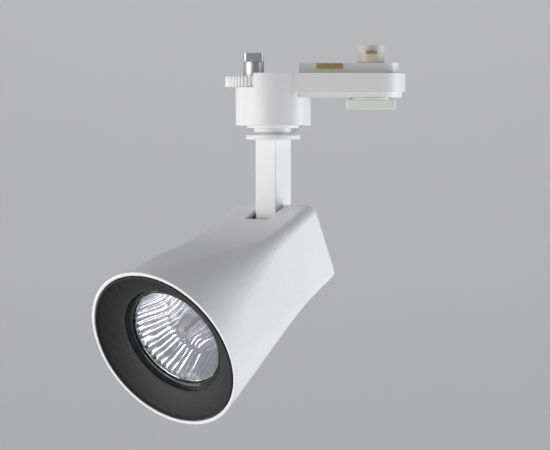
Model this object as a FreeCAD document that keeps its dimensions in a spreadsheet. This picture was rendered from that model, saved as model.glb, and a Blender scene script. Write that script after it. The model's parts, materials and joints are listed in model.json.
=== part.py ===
import FreeCAD, Part
import math
import os
import re

import Sketcher
from FreeCAD import Placement, Rotation, Vector

# Track spotlight: a three-wire track adapter, a square stem that pans under it, and a die-cast head
# that tilts on the stem and holds a GU10 reflector lamp.
#
# Row frame, millimetres: the origin is on the pan axis, in the plane of the track's underside.
# +Z is up, into the track. +X runs along the track, out along the adapter's arm.
# The stem frame is the row frame turned about Z by the rest heading. Its +X is the way the head looks.
# The head frame has its origin on the tilt pivot. Its +X is the lamp's optical axis, +Z is the head's top.

# Every driving size: alias, value, meaning. Drops are measured down from the track's underside.
SIZES = [
    # rest pose
    ("rest_heading", 232.0, "direction the head looks in plan, degrees from +X"),
    ("rest_tilt", 27.0, "optical axis below the horizontal, degrees"),
    # adapter shell
    ("barrel_top_radius", 17.75, "outer radius of the barrel at the seat"),
    ("barrel_bottom_radius", 17.5, "outer radius of the barrel at its lower rim"),
    ("barrel_drop", 24.2, "lower rim of the barrel"),
    ("arm_wall", 1.9, "wall of the arm"),
    ("arm_half_width", 15.1, "half the width of the arm, and its end radius"),
    ("arm_centre", 46.7, "centre of the arm's round end"),
    ("arm_drop", 8.5, "underside of the arm's upper part"),
    ("arm_deck", 2.0, "thickness of the deck over the arm"),
    ("arm_cavity_start", 14.0, "where the arm's cavity begins"),
    ("passage_start", 8.0, "inner end of the passage from the barrel to the arm"),
    ("passage_half_width", 6.0, "half the width of that passage"),
    ("passage_top_drop", 4.0, "roof of that passage"),
    ("shoulder_drop", 6.4, "shoulder left where the barrel is cut away for the dial"),
    ("cutaway_offset", 9.15, "distance of the cutaway's face from the pan axis"),
    ("dial_deck", 1.0, "thickness of the deck over the dial"),
    ("barrel_roof_drop", 7.8, "roof of the barrel's cavity"),
    # tongue that enters the track
    ("tongue_start", 12.0, "start of the tongue"),
    ("tongue_half_width", 6.8, "half the width of the tongue"),
    ("tongue_height", 5.0, "height of the tongue"),
    # arm lid and lever
    ("lid_inset", 1.6, "how far the lid stands in from the arm's sides"),
    ("lid_thickness", 2.7, "thickness of the lid"),
    ("lid_screw_x", 27.0, "lid screws along the arm"),
    ("lid_screw_y", 8.5, "lid screws off the arm's centre line"),
    ("lid_screw_radius", 1.25, "shank of a lid screw"),
    ("lid_screw_head_radius", 2.4, "head of a lid screw"),
    ("lid_screw_head_height", 1.3, "height of that head"),
    ("lid_screw_length", 7.0, "length of a lid screw"),
    ("lid_post_radius", 2.6, "post that a lid screw bites in"),
    ("lever_axis", 45.5, "axis of the lever and the contact turret"),
    ("lever_length", 23.0, "length of the lever"),
    ("lever_width", 9.0, "width of the lever"),
    ("lever_height", 4.9, "height of the lever"),
    ("lever_disc_radius", 9.4, "round boss between the lid and the lever"),
    ("lever_disc_height", 0.5, "height of that boss"),
    ("turret_shaft_radius", 3.2, "shaft that joins the lever to the turret"),
    ("turret_journal_radius", 5.6, "journal that turns in the tongue"),
    ("turret_head_radius", 6.5, "insulating head above the tongue"),
    ("turret_head_height", 8.0, "height of that head"),
    ("contact_reach", 11.8, "tip of a contact from the turret's axis"),
    ("contact_width", 5.0, "width of a contact"),
    ("contact_thickness", 1.2, "thickness of a contact"),
    ("contact_rise", 9.0, "height of the contacts above the seat"),
    ("contact_root", 3.0, "inner end of a contact"),
    ("busbar_offset", 3.6, "busbars off the arm's centre line"),
    ("busbar_width", 3.0, "width of a busbar"),
    ("busbar_thickness", 0.6, "thickness of a busbar"),
    ("busbar_drop", 5.2, "underside of a busbar"),
    ("busbar_start", 8.3, "inner end of a busbar"),
    ("busbar_foot_drop", 10.5, "foot of a busbar beside the terminal block"),
    ("cam_rounding", 1.5, "corner radius of the cam's lug in plan"),
    ("earth_contact_start", 20.0, "start of an earth contact"),
    ("earth_contact_length", 12.0, "length of an earth contact"),
    ("earth_contact_rise", 2.2, "bottom of an earth contact above the seat face"),
    ("earth_contact_height", 2.4, "height of an earth contact"),
    ("earth_contact_thickness", 0.6, "thickness of an earth contact"),
    # locking dial and cam
    ("dial_radius", 13.35, "radius over the dial's ribs"),
    ("dial_height", 5.0, "height of the dial"),
    ("dial_gap", 0.2, "gap above and below the dial"),
    ("dial_side_gap", 0.55, "gap around the dial"),
    ("rib_pitch_angle", 7.5, "angle from one rib of the dial to the next, degrees"),
    ("rib_depth", 0.45, "depth of the grooves between the ribs"),
    ("dial_stub_radius", 3.0, "stub under the dial that turns in the shoulder"),
    ("dial_stub_height", 1.2, "height of that stub"),
    ("cam_neck_radius", 4.8, "neck of the locking cam in the track's slot"),
    ("cam_neck_height", 5.4, "height of that neck above the seat"),
    ("cam_length", 22.0, "length of the cam's lug"),
    ("cam_width", 9.4, "width of the cam's lug"),
    ("cam_height", 4.0, "height of the cam's lug"),
    ("running_gap", 0.06, "radial clearance of a shaft in its hole"),
    # swivel under the barrel
    ("barrel_bore_radius", 15.5, "radius of the barrel's cavity"),
    ("swivel_plate_radius", 15.4, "plate that closes the barrel"),
    ("swivel_plate_thickness", 2.5, "thickness of that plate"),
    ("swivel_step_radius", 12.5, "upper step under the barrel"),
    ("swivel_step_height", 1.2, "height of the upper step"),
    ("swivel_collar_radius", 9.0, "lower step"),
    ("swivel_collar_height", 2.1, "height of the lower step"),
    ("wedge_top_reach", 14.9, "outer edge of the wedge lug at the barrel"),
    ("wedge_bottom_reach", 11.7, "outer edge of the wedge lug at its foot"),
    ("wedge_half_width", 3.5, "half the width of the wedge lug"),
    ("stop_radius", 12.5, "radius at which the pan stops meet"),
    ("stop_width", 1.6, "width of each pan stop"),
    ("stop_reach", 2.4, "radial length of the fixed pan stop"),
    ("stop_height", 2.0, "height of the fixed pan stop"),
    ("terminal_length", 15.6, "terminal block along the arm"),
    ("terminal_width", 14.0, "terminal block across the arm"),
    ("terminal_height", 6.4, "height of the terminal block"),
    ("terminal_screw_pitch", 4.6, "from one terminal screw to the next"),
    ("terminal_screw_radius", 1.5, "radius of a terminal screw"),
    ("terminal_screw_length", 1.2, "how far a terminal screw stands out"),
    # spindle and its stack
    ("spindle_radius", 4.9, "hollow spindle on the pan axis"),
    ("spindle_bore_radius", 3.6, "wire way in the spindle"),
    ("spindle_top_drop", 15.8, "top of the spindle"),
    ("thrust_washer_radius", 10.5, "plastic washer on the swivel plate"),
    ("thrust_washer_thickness", 0.5, "thickness of that washer"),
    ("stop_washer_radius", 8.5, "tabbed steel washer"),
    ("stop_washer_thickness", 1.0, "thickness of that washer"),
    ("wave_washer_radius", 8.0, "spring washer, drawn flat"),
    ("wave_washer_thickness", 0.8, "thickness of the spring washer"),
    ("spindle_nut_flats", 14.0, "across the flats of the spindle's nut"),
    ("spindle_nut_height", 3.0, "height of that nut"),
    ("flange_neck_radius", 8.1, "neck of the stem's flange"),
    ("flange_neck_height", 1.0, "height of that neck"),
    ("flange_gap", 0.1, "gap between the fixed collar and the turning neck"),
    ("flange_radius", 12.65, "disc of the stem's flange"),
    ("flange_thickness", 2.1, "thickness of that disc"),
    # stem and pivot
    ("stem_side", 12.0, "side of the square stem"),
    ("stem_edge", 0.5, "rounding of the stem's long edges"),
    ("stem_bore_radius", 3.4, "wire way in the stem"),
    ("stem_bore_end", 7.5, "end of the wire way above the pivot"),
    ("window_height", 8.0, "height of the wire window"),
    ("window_width", 6.4, "width of the wire window"),
    ("pivot_drop", 83.2, "tilt pivot"),
    ("pivot_radius", 2.5, "shank of the pivot bolt"),
    ("friction_washer_radius", 5.8, "friction washer between the stem and an ear"),
    ("friction_washer_thickness", 0.5, "thickness of that washer"),
    ("washer_gap", 0.05, "gap between the stem and a friction washer"),
    ("ear_thickness", 2.0, "thickness of the bracket's ears"),
    ("ear_half_height", 7.0, "half the height of the ears, and their end radius"),
    ("plate_front", 14.0, "front of the bracket's plate ahead of the pivot"),
    ("plate_half_width", 21.2, "half the width of the plate"),
    ("plate_half_height", 14.0, "half the height of the plate"),
    ("bracket_thickness", 2.0, "thickness of the bracket's sheet"),
    ("plate_wire_hole_radius", 3.6, "wire hole in the plate"),
    ("plate_wire_hole_rise", 8.2, "height of that hole"),
    ("bolt_head_radius", 4.4, "head of the pivot bolt"),
    ("bolt_head_height", 2.8, "height of that head"),
    ("hex_socket_flats", 3.0, "hex socket in the pivot bolt"),
    ("pivot_nut_flats", 8.0, "across the flats of the lock nut"),
    ("pivot_nut_height", 4.0, "height of the lock nut"),
    ("disc_spring_radius", 5.0, "disc spring under the lock nut"),
    ("disc_spring_thickness", 0.9, "thickness of the disc spring"),
    # head shell, stations measured back from the mouth
    ("mouth_offset", 89.0, "mouth plane ahead of the pivot"),
    ("mouth_radius", 39.2, "outer radius of the mouth"),
    ("mouth_flat", 0.3, "half the flat left at the mouth's quarter points"),
    ("rim_wall", 1.65, "wall at the mouth"),
    ("shell_wall", 2.1, "wall of the shell"),
    ("rear_wall", 2.5, "wall of the rear face"),
    ("station_depth_a", 12.0, "first station behind the mouth"),
    ("half_width_a", 36.0, "half width there"),
    ("half_height_a", 36.4, "half height there"),
    ("corner_a", 33.0, "corner radius there"),
    ("station_depth_b", 27.0, "second station"),
    ("half_width_b", 32.8, "half width there"),
    ("half_height_b", 32.1, "half height there"),
    ("corner_b", 25.0, "corner radius there"),
    ("station_depth_c", 42.0, "third station"),
    ("half_width_c", 29.9, "half width there"),
    ("half_height_c", 27.3, "half height there"),
    ("corner_c", 17.2, "corner radius there"),
    ("station_depth_d", 58.0, "fourth station"),
    ("half_width_d", 26.6, "half width there"),
    ("half_height_d", 22.9, "half height there"),
    ("corner_d", 9.4, "corner radius there"),
    ("station_depth_e", 78.0, "fifth station"),
    ("half_width_e", 24.1, "half width there"),
    ("half_height_e", 20.2, "half height there"),
    ("corner_e", 5.6, "corner radius there"),
    ("station_depth_f", 100.0, "rear face"),
    ("half_width_f", 23.6, "half width there"),
    ("half_height_f", 19.5, "half height there"),
    ("corner_f", 4.8, "corner radius there"),
    ("rear_edge", 1.0, "rounding of the rear face's edge"),
    ("slot_half_width", 6.9, "half the width of the stem's slot"),
    ("slot_front", 4.2, "front end of the slot ahead of the pivot"),
    ("post_offset", 18.2, "screw posts off the optical axis"),
    ("post_radius", 3.4, "radius of a screw post"),
    ("bracket_screw_radius", 1.5, "shank of a bracket screw"),
    ("bracket_screw_length", 9.0, "length of that shank"),
    ("bracket_screw_head_radius", 2.75, "head of a bracket screw"),
    ("bracket_screw_head_height", 1.8, "height of that head"),
    ("thread_gap", 0.05, "radial gap left at a screw's thread"),
    # baffle
    ("baffle_lip_radius", 37.1, "outer radius of the baffle's bead"),
    ("baffle_proud", 0.4, "how far the bead stands out of the mouth"),
    ("baffle_bead_width", 0.8, "width of the bead"),
    ("baffle_hole_radius", 25.8, "hole of the baffle"),
    ("baffle_depth", 7.0, "hole's edge behind the mouth"),
    ("baffle_sheet", 1.2, "thickness at the hole"),
    ("baffle_sag", 1.0, "how far the dish bows back between bead and hole"),
    ("baffle_skirt_depth", 6.0, "end of the skirt behind the mouth"),
    ("baffle_skirt_radius", 34.9, "outer radius at the skirt's end"),
    ("baffle_skirt_inner", 33.4, "inner radius at the skirt's end"),
    # lamp
    ("lamp_depth", 9.2, "front of the lamp's rim behind the mouth"),
    ("lamp_radius", 25.0, "radius of the lamp's rim"),
    ("lamp_rim_height", 3.0, "height of the rim's band"),
    ("lamp_face_radius", 23.3, "radius of the cover glass"),
    ("glass_recess", 1.1, "front of the cover glass behind the rim"),
    ("glass_thickness", 1.3, "thickness of the cover glass"),
    ("bowl_radius", 22.6, "reflecting bowl's radius at the glass"),
    ("bowl_depth", 24.0, "depth of the reflecting bowl"),
    ("bowl_throat_radius", 6.6, "radius at the bowl's throat"),
    ("bowl_neck_radius", 10.3, "outer radius at the bowl's neck"),
    ("base_length", 16.0, "length of the lamp's ceramic base"),
    ("base_front_radius", 13.4, "radius of the base at the bowl"),
    ("base_rear_radius", 12.6, "radius of the base at the holder"),
    ("base_shoulder_length", 6.0, "straight stretch of the base at the holder"),
    ("base_socket_depth", 1.5, "depth of the seat for the bowl's neck"),
    ("base_socket_radius", 11.9, "radius of that seat"),
    ("capsule_radius", 4.6, "radius of the halogen capsule"),
    ("capsule_wall", 0.8, "wall of the capsule"),
    ("capsule_length", 17.0, "length of the capsule's tube"),
    ("filament_radius", 0.9, "radius over the coiled filament"),
    ("filament_length", 9.0, "length of the filament"),
    ("pin_offset", 5.0, "lamp pins off the optical axis"),
    ("pin_neck_radius", 1.6, "neck of a lamp pin"),
    ("pin_head_radius", 2.5, "head of a lamp pin"),
    ("pin_length", 6.8, "length of a lamp pin"),
    ("pin_head_length", 2.3, "length of its head"),
    ("twist_angle", 20.0, "turn that frees the lamp, degrees"),
    # lamp holder
    ("holder_radius", 15.0, "radius of the lamp holder"),
    ("holder_gap", 0.5, "gap between the bracket and the holder"),
    ("holder_front_gap", 0.3, "gap between the holder and the lamp's base"),
    ("keyhole_depth", 10.0, "depth of the pins' slots"),
    ("keyhole_gap", 0.4, "clearance around a pin's head"),
    ("holder_screw_offset", 10.6, "holder screws off the optical axis"),
    ("holder_screw_radius", 1.5, "shank of a holder screw"),
    ("holder_screw_head_radius", 2.6, "head of a holder screw"),
    ("holder_screw_head_height", 1.6, "height of that head"),
    ("spring_contact_width", 3.4, "width of a holder's spring contact"),
    ("spring_contact_thickness", 0.5, "thickness of a spring contact"),
    # wires
    ("wire_radius", 1.2, "insulated lead"),
    ("wire_offset", 1.6, "leads off the bore's axis"),
]

NAMES = {alias for alias, value, meaning in SIZES}

doc = FreeCAD.newDocument("TrackSpotlight")
sheet = doc.addObject("Spreadsheet::Sheet", "Sizes")
for row, (alias, value, meaning) in enumerate(SIZES, start=1):
    sheet.set(f"A{row}", meaning)
    sheet.set(f"B{row}", str(value))
    sheet.setAlias(f"B{row}", alias)
doc.recompute()

sub_parts = []


# ---------------------------------------------------------------- expressions and placements


def bound(text):
    """Turn 'mouth_radius - rim_wall' into an expression that reads the sheet."""
    return re.sub(r"[a-z][a-z_]*", lambda word: "Sizes." + word[0] if word[0] in NAMES else word[0], text)


def size(text):
    """The value of an expression in the sheet's aliases."""
    return float(sheet.evalExpression(bound(text)))


def bind(thing, **expressions):
    for name, text in expressions.items():
        thing.setExpression(name.replace("__", "."), bound(text))


ROW_FRAME = Placement()
STEM_FRAME = Placement(Vector(), Rotation(Vector(0, 0, 1), size("rest_heading")))
HEAD_FRAME = Placement(
    Vector(0, 0, -size("pivot_drop")),
    Rotation(Vector(0, 0, 1), size("rest_heading")) * Rotation(Vector(0, 1, 0), size("rest_tilt")),
)


def finish(thing, label, frame=ROW_FRAME):
    """Make a document object a sub-part: its label names its file, its placement sets its frame."""
    if thing.TypeId in ("Part::Cylinder", "Part::Box", "Part::Prism", "Part::Sphere"):
        thing = group(label + "_solid", thing)
    thing.Label = label
    thing.Placement = frame
    sub_parts.append(thing)
    return thing


# ---------------------------------------------------------------- Part primitives and booleans

ALONG = {
    "x": Rotation(Vector(0, 1, 0), 90),
    "y": Rotation(Vector(1, 0, 0), -90),
    "z": Rotation(),
}


def move(thing, at, rotation=None):
    if rotation is not None:
        thing.Placement = Placement(Vector(), rotation)
    bind(thing, Placement__Base__x=at[0], Placement__Base__y=at[1], Placement__Base__z=at[2])
    return thing


def rod(name, radius, length, at=("0", "0", "0"), along="z"):
    """A cylinder from a point, along a positive axis."""
    thing = doc.addObject("Part::Cylinder", name)
    bind(thing, Radius=radius, Height=length)
    return move(thing, at, ALONG[along])


def block(name, low, length, width, height):
    """A box from its lowest corner."""
    thing = doc.addObject("Part::Box", name)
    bind(thing, Length=length, Width=width, Height=height)
    return move(thing, low)


def hexagon(name, flats, height, at, along="z"):
    thing = doc.addObject("Part::Prism", name)
    thing.Polygon = 6
    bind(thing, Circumradius=f"({flats}) / sqrt(3)", Height=height)
    return move(thing, at, ALONG[along])


def join(name, *things):
    thing = doc.addObject("Part::MultiFuse", name)
    thing.Shapes = list(things)
    return thing


def group(name, *things):
    """Separate solids that share one node."""
    thing = doc.addObject("Part::Compound", name)
    thing.Links = list(things)
    return thing


def cut(name, base, *tools):
    thing = doc.addObject("Part::Cut", name)
    thing.Base = base
    thing.Tool = tools[0] if len(tools) == 1 else join(name + "_tools", *tools)
    return thing


def washer(name, outer, inner, thickness, at, along="z"):
    start = [f"({value}) - 1" if axis == along else value for axis, value in zip("xyz", at)]
    ring = rod(name + "_disc", outer, thickness, at, along)
    hole = rod(name + "_hole", inner, f"({thickness}) + 2", start, along)
    return cut(name, ring, hole)


# ---------------------------------------------------------------- PartDesign sketches and features


def new_body(name):
    return doc.addObject("PartDesign::Body", name)


def new_sketch(body, name, role, offset=None):
    """A sketch on one of its body's origin planes, moved along the plane's normal."""
    plane = next(item for item in body.Origin.OriginFeatures if item.Role == role)
    sketch = body.newObject("Sketcher::SketchObject", name)
    sketch.AttachmentSupport = (plane, [""])
    sketch.MapMode = "FlatFace"
    if offset is not None:
        bind(sketch, AttachmentOffset__Base__z=offset)
    return sketch


def pin_point(sketch, geometry, point, x, y):
    """Hold one point of a sketch at two expressions."""
    for kind, axis, text in (("DistanceX", -2, x), ("DistanceY", -1, y)):
        if text == "0":
            sketch.addConstraint(Sketcher.Constraint("PointOnObject", geometry, point, axis))
        else:
            constraint = Sketcher.Constraint(kind, -1, 1, geometry, point, size(text))
            index = sketch.addConstraint(constraint)
            sketch.setExpression(f"Constraints[{index}]", bound(text))


def polygon(sketch, points):
    """A closed outline of straight lines through (x, y) expressions."""
    corners = [Vector(size(x), size(y), 0) for x, y in points]
    first = sketch.GeometryCount
    count = len(points)
    for index in range(count):
        line = Part.LineSegment(corners[index], corners[(index + 1) % count])
        sketch.addGeometry(line, False)
    for index, (x, y) in enumerate(points):
        after = first + (index + 1) % count
        sketch.addConstraint(Sketcher.Constraint("Coincident", first + index, 2, after, 1))
        pin_point(sketch, first + index, 1, x, y)


def rectangle(sketch, left, bottom, right, top):
    polygon(sketch, [(left, bottom), (right, bottom), (right, top), (left, top)])


def circle(sketch, x, y, radius):
    centre = Vector(size(x), size(y), 0)
    index = sketch.addGeometry(Part.Circle(centre, Vector(0, 0, 1), size(radius)), False)
    pin_point(sketch, index, 3, x, y)
    constraint = sketch.addConstraint(Sketcher.Constraint("Radius", index, size(radius)))
    sketch.setExpression(f"Constraints[{constraint}]", bound(radius))


def rounded_rectangle(sketch, half_width, half_height, corner):
    """Four arcs and four lines, tangent all round, centred on the sketch's origin."""
    across, up, radius = size(half_width), size(half_height), size(corner)
    signs = [(1, 1), (-1, 1), (-1, -1), (1, -1)]
    arcs = []
    for quarter, (sign_x, sign_y) in enumerate(signs):
        centre = Vector(sign_x * (across - radius), sign_y * (up - radius), 0)
        edge = Part.Circle(centre, Vector(0, 0, 1), radius)
        start = quarter * math.pi / 2
        arcs.append(sketch.addGeometry(Part.ArcOfCircle(edge, start, start + math.pi / 2), False))
        pin_point(
            sketch, arcs[-1], 3,
            f"{sign_x} * ({half_width} - {corner})",
            f"{sign_y} * ({half_height} - {corner})",
        )
        held = sketch.addConstraint(Sketcher.Constraint("Radius", arcs[-1], radius))
        sketch.setExpression(f"Constraints[{held}]", bound(corner))
    for quarter in range(4):
        here, after = arcs[quarter], arcs[(quarter + 1) % 4]
        ends = sketch.getPoint(here, 2), sketch.getPoint(after, 1)
        line = sketch.addGeometry(Part.LineSegment(*ends), False)
        sketch.addConstraint(Sketcher.Constraint("Tangent", here, 2, line, 1))
        sketch.addConstraint(Sketcher.Constraint("Tangent", line, 2, after, 1))


def feature(body, kind, name, sketch):
    thing = body.newObject("PartDesign::" + kind, name)
    thing.Profile = sketch
    sketch.Visibility = False
    return thing


def pad(body, name, sketch, length, midplane=False):
    thing = feature(body, "Pad", name, sketch)
    bind(thing, Length=length)
    thing.Midplane = midplane
    return thing


def pocket(body, name, sketch, length, midplane=False, reverse=False):
    """A pocket, with a check that it takes metal away."""
    doc.recompute()
    before = body.Shape.Volume
    thing = feature(body, "Pocket", name, sketch)
    bind(thing, Length=length)
    thing.Midplane = midplane
    thing.Reversed = reverse
    doc.recompute()
    if body.Shape.Volume > before - 0.01:
        raise RuntimeError(f"{body.Name}: {name} cuts nothing")
    return thing


def revolve(body, name, sketch, axis):
    """A full turn about the sketch's H_Axis (X) or V_Axis (Z)."""
    thing = feature(body, "Revolution", name, sketch)
    thing.ReferenceAxis = (sketch, [axis])
    thing.Angle = 360
    return thing


def round_edges(body, name, radius, wanted):
    """Fillet the edges of the body's tip that a test picks."""
    doc.recompute()
    tip = body.Tip
    picked = [f"Edge{i}" for i, edge in enumerate(tip.Shape.Edges, start=1) if wanted(edge)]
    thing = body.newObject("PartDesign::Fillet", name)
    thing.Base = (tip, picked)
    bind(thing, Radius=radius)
    return thing


# ---------------------------------------------------------------- adapter shell


def adapter_body():
    """Barrel and arm in one moulding, open below, with the tongue that enters the track."""
    body = new_body("AdapterBody")
    profile = new_sketch(body, "BarrelProfile", "XZ_Plane")
    polygon(profile, [
        ("0", "0"), ("barrel_top_radius", "0"),
        ("barrel_bottom_radius", "-barrel_drop"), ("0", "-barrel_drop"),
    ])
    revolve(body, "Barrel", profile, "V_Axis")
    arm = new_sketch(body, "ArmPlan", "XY_Plane", "-arm_drop")
    rectangle(arm, "0", "-arm_half_width", "arm_centre", "arm_half_width")
    pad(body, "Arm", arm, "arm_drop")
    end = new_sketch(body, "ArmEndPlan", "XY_Plane", "-arm_drop")
    circle(end, "arm_centre", "0", "arm_half_width")
    pad(body, "ArmEnd", end, "arm_drop")
    tongue = new_sketch(body, "TonguePlan", "XY_Plane")
    rectangle(tongue, "tongue_start", "-tongue_half_width", "arm_centre + 5", "tongue_half_width")
    pad(body, "Tongue", tongue, "tongue_height")
    tongue_end = new_sketch(body, "TongueEndPlan", "XY_Plane")
    circle(tongue_end, "arm_centre + 5", "0", "tongue_half_width")
    pad(body, "TongueEnd", tongue_end, "tongue_height")

    cavity = new_sketch(body, "BarrelCavityPlan", "XY_Plane", "-barrel_roof_drop")
    circle(cavity, "0", "0", "barrel_bore_radius")
    pocket(body, "BarrelCavity", cavity, "barrel_drop")
    for name, shape in (("ArmCavity", "box"), ("ArmEndCavity", "round")):
        plan = new_sketch(body, name + "Plan", "XY_Plane", "-arm_deck")
        if shape == "box":
            rectangle(plan, "arm_cavity_start", "-arm_half_width + arm_wall",
                      "arm_centre", "arm_half_width - arm_wall")
        else:
            circle(plan, "arm_centre", "0", "arm_half_width - arm_wall")
        pocket(body, name, plan, "arm_drop - arm_deck")
    passage = new_sketch(body, "PassagePlan", "XY_Plane", "-passage_top_drop")
    rectangle(passage, "passage_start", "-passage_half_width",
              "arm_cavity_start + 0.5", "passage_half_width")
    pocket(body, "Passage", passage, "arm_drop - passage_top_drop + 0.5")

    cutaway = new_sketch(body, "CutawayPlan", "XY_Plane", "1")
    rectangle(cutaway, "-barrel_top_radius - 5", "-barrel_top_radius - 5",
              "-cutaway_offset", "barrel_top_radius + 5")
    pocket(body, "Cutaway", cutaway, "shoulder_drop + 1")
    dial_room = new_sketch(body, "DialRoomPlan", "XY_Plane", "-dial_deck")
    circle(dial_room, "-cutaway_offset", "0", "dial_radius + dial_side_gap")
    pocket(body, "DialRoom", dial_room, "shoulder_drop - dial_deck")
    notch = new_sketch(body, "NeckNotchPlan", "XY_Plane", "1")
    circle(notch, "-cutaway_offset", "0", "cam_neck_radius + dial_side_gap")
    pocket(body, "NeckNotch", notch, "dial_deck + 1.5")
    stub = new_sketch(body, "DialStubPlan", "XY_Plane", "-shoulder_drop + 0.5")
    circle(stub, "-cutaway_offset", "0", "dial_stub_radius + running_gap")
    pocket(body, "DialStubHole", stub, "barrel_roof_drop")

    journal = new_sketch(body, "JournalPlan", "XY_Plane", "tongue_height + 1")
    circle(journal, "lever_axis", "0", "turret_journal_radius + running_gap")
    pocket(body, "JournalHole", journal, "tongue_height + arm_deck + 2")
    posts = new_sketch(body, "LidPostPlan", "XY_Plane", "-arm_drop")
    for side in ("-", ""):
        circle(posts, "lid_screw_x", f"{side}lid_screw_y", "lid_post_radius")
    pad(body, "LidPosts", posts, "arm_drop - arm_deck + 0.5")
    holes = new_sketch(body, "LidPostHolePlan", "XY_Plane", "-arm_drop + lid_screw_length - 2")
    for side in ("-", ""):
        circle(holes, "lid_screw_x", f"{side}lid_screw_y", "lid_screw_radius + thread_gap")
    pocket(body, "LidPostHoles", holes, "lid_screw_length")
    finish(body, "adapter_body")


def arm_lid():
    """Lid under the arm. It stands in from the arm's sides and stops at the barrel."""
    top = "-arm_drop - lid_thickness"
    half = "arm_half_width - lid_inset"
    plate = join(
        "LidPlate",
        block("LidStrip", ("0", f"-({half})", top), "arm_centre", f"2 * ({half})", "lid_thickness"),
        rod("LidEnd", half, "lid_thickness", ("arm_centre", "0", top)),
    )
    low = "-arm_drop - lid_thickness - 1"
    tools = [
        rod("LidBarrelRelief", "barrel_top_radius + 0.05", "lid_thickness + 2", ("0", "0", low)),
        rod("LidShaftHole", "turret_shaft_radius + running_gap", "lid_thickness + 2",
            ("lever_axis", "0", low)),
    ]
    for name, side in (("Front", "-"), ("Back", "")):
        at = ("lid_screw_x", f"{side}lid_screw_y", low)
        tools.append(rod("LidScrewHole" + name, "lid_screw_radius + 0.15", "lid_thickness + 2", at))
        tools.append(rod("LidScrewSeat" + name, "lid_screw_head_radius + 0.2",
                         "lid_screw_head_height + 1.1", at))
    finish(cut("ArmLid", plate, *tools), "arm_lid")


def screw(name, shank, length, head, head_height, at, along, head_first):
    """A plain screw: shank and cylindrical head with a cross recess. at is the head's seat."""
    axis = "xyz".index(along)
    back = list(at)
    if head_first:
        back[axis] = f"({at[axis]}) - ({head_height})"
        shank_at = at
    else:
        shank_at = list(at)
        shank_at[axis] = f"({at[axis]}) - ({length})"
    solid = join(
        name + "Solid",
        rod(name + "Shank", shank, length, shank_at, along),
        rod(name + "Head", head, head_height, back, along),
    )
    slots = []
    others = [index for index in range(3) if index != axis]
    for wide in others:
        spans = [f"0.3 * ({head})"] * 3
        low = [f"({value}) - 0.15 * ({head})" for value in at]
        spans[wide] = f"1.1 * ({head})"
        low[wide] = f"({at[wide]}) - 0.55 * ({head})"
        spans[axis] = f"0.6 * ({head_height}) + 0.5"
        if head_first:
            low[axis] = f"({at[axis]}) - ({head_height}) - 0.5"
        else:
            low[axis] = f"({at[axis]}) + 0.4 * ({head_height})"
        slots.append(block(f"{name}Slot{wide}", low, *spans))
    return cut(name, solid, *slots)


def lid_screws():
    """Two screws that hold the lid, their heads sunk in it."""
    seat = "-arm_drop - lid_thickness + lid_screw_head_height + 0.1"
    screws = [
        screw("LidScrew" + name, "lid_screw_radius", "lid_screw_length - 2", "lid_screw_head_radius",
              "lid_screw_head_height", ("lid_screw_x", f"{side}lid_screw_y", seat), "z", True)
        for name, side in (("Front", "-"), ("Back", ""))
    ]
    finish(group("LidScrews", *screws), "lid_screws")


def busbars_and_contacts():
    """Brass pieces of the adapter: busbars in the arm, earth contacts beside the tongue."""
    for name, label, centre in (("LineBusbar", "line_busbar", "-busbar_offset"),
                                ("NeutralBusbar", "neutral_busbar", "busbar_offset")):
        side = f"{centre} - busbar_width / 2"
        run = block(name + "Run", ("busbar_start", side, "-busbar_drop"),
                    "lever_axis - turret_journal_radius - busbar_start - 0.5",
                    "busbar_width", "busbar_thickness")
        foot = block(name + "Foot", ("busbar_start", side, "-busbar_foot_drop"),
                     "busbar_thickness", "busbar_width", "busbar_foot_drop - busbar_drop + 0.1")
        finish(join(name, run, foot), label)
    strips = []
    for name, low in (("Front", "-tongue_half_width - earth_contact_thickness"),
                      ("Back", "tongue_half_width")):
        strips.append(block("EarthContact" + name, ("earth_contact_start", low, "earth_contact_rise"),
                            "earth_contact_length", "earth_contact_thickness",
                            "earth_contact_height"))
    finish(group("EarthContacts", *strips), "earth_contacts")


def terminal_block():
    """Three-way terminal block under the barrel's roof, with its screws."""
    top = "-barrel_roof_drop - 0.2"
    body = block("TerminalBlock", ("-terminal_length / 2", "-terminal_width / 2",
                                   f"{top} - terminal_height"),
                 "terminal_length", "terminal_width", "terminal_height")
    finish(body, "terminal_block")
    screws = [
        rod(f"TerminalScrew{step + 2}", "terminal_screw_radius", "terminal_screw_length",
            (f"{step} * terminal_screw_pitch", "-terminal_width / 2 - terminal_screw_length",
             f"{top} - terminal_height / 2"), "y")
        for step in (-1, 0, 1)
    ]
    finish(group("TerminalScrews", *screws), "terminal_screws")


# ---------------------------------------------------------------- lever and contact turret


def contact_lever():
    """Lever under the arm, with the round boss that bears on the lid."""
    top = "-arm_drop - lid_thickness - 0.1"
    grip = block("LeverGrip", ("lever_axis - lever_length / 2", "-lever_width / 2",
                               f"{top} - lever_disc_height - lever_height"),
                 "lever_length", "lever_width", "lever_height")
    rounded = doc.addObject("Part::Fillet", "LeverRounded")
    rounded.Base = grip
    doc.recompute()
    rounded.Edges = [(index, 0.9, 0.9) for index in range(1, 13)]
    disc = rod("LeverDisc", "lever_disc_radius", "lever_disc_height + 0.2",
               ("lever_axis", "0", f"{top} - lever_disc_height - 0.2"))
    solid = join("LeverSolid", rounded, disc)
    socket = hexagon("LeverSocket", "2 * turret_shaft_radius * 0.8", "lever_height / 2 + 1",
                     ("lever_axis", "0", f"{top} - lever_height / 2"))
    finish(cut("ContactLever", solid, socket), "contact_lever")


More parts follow.
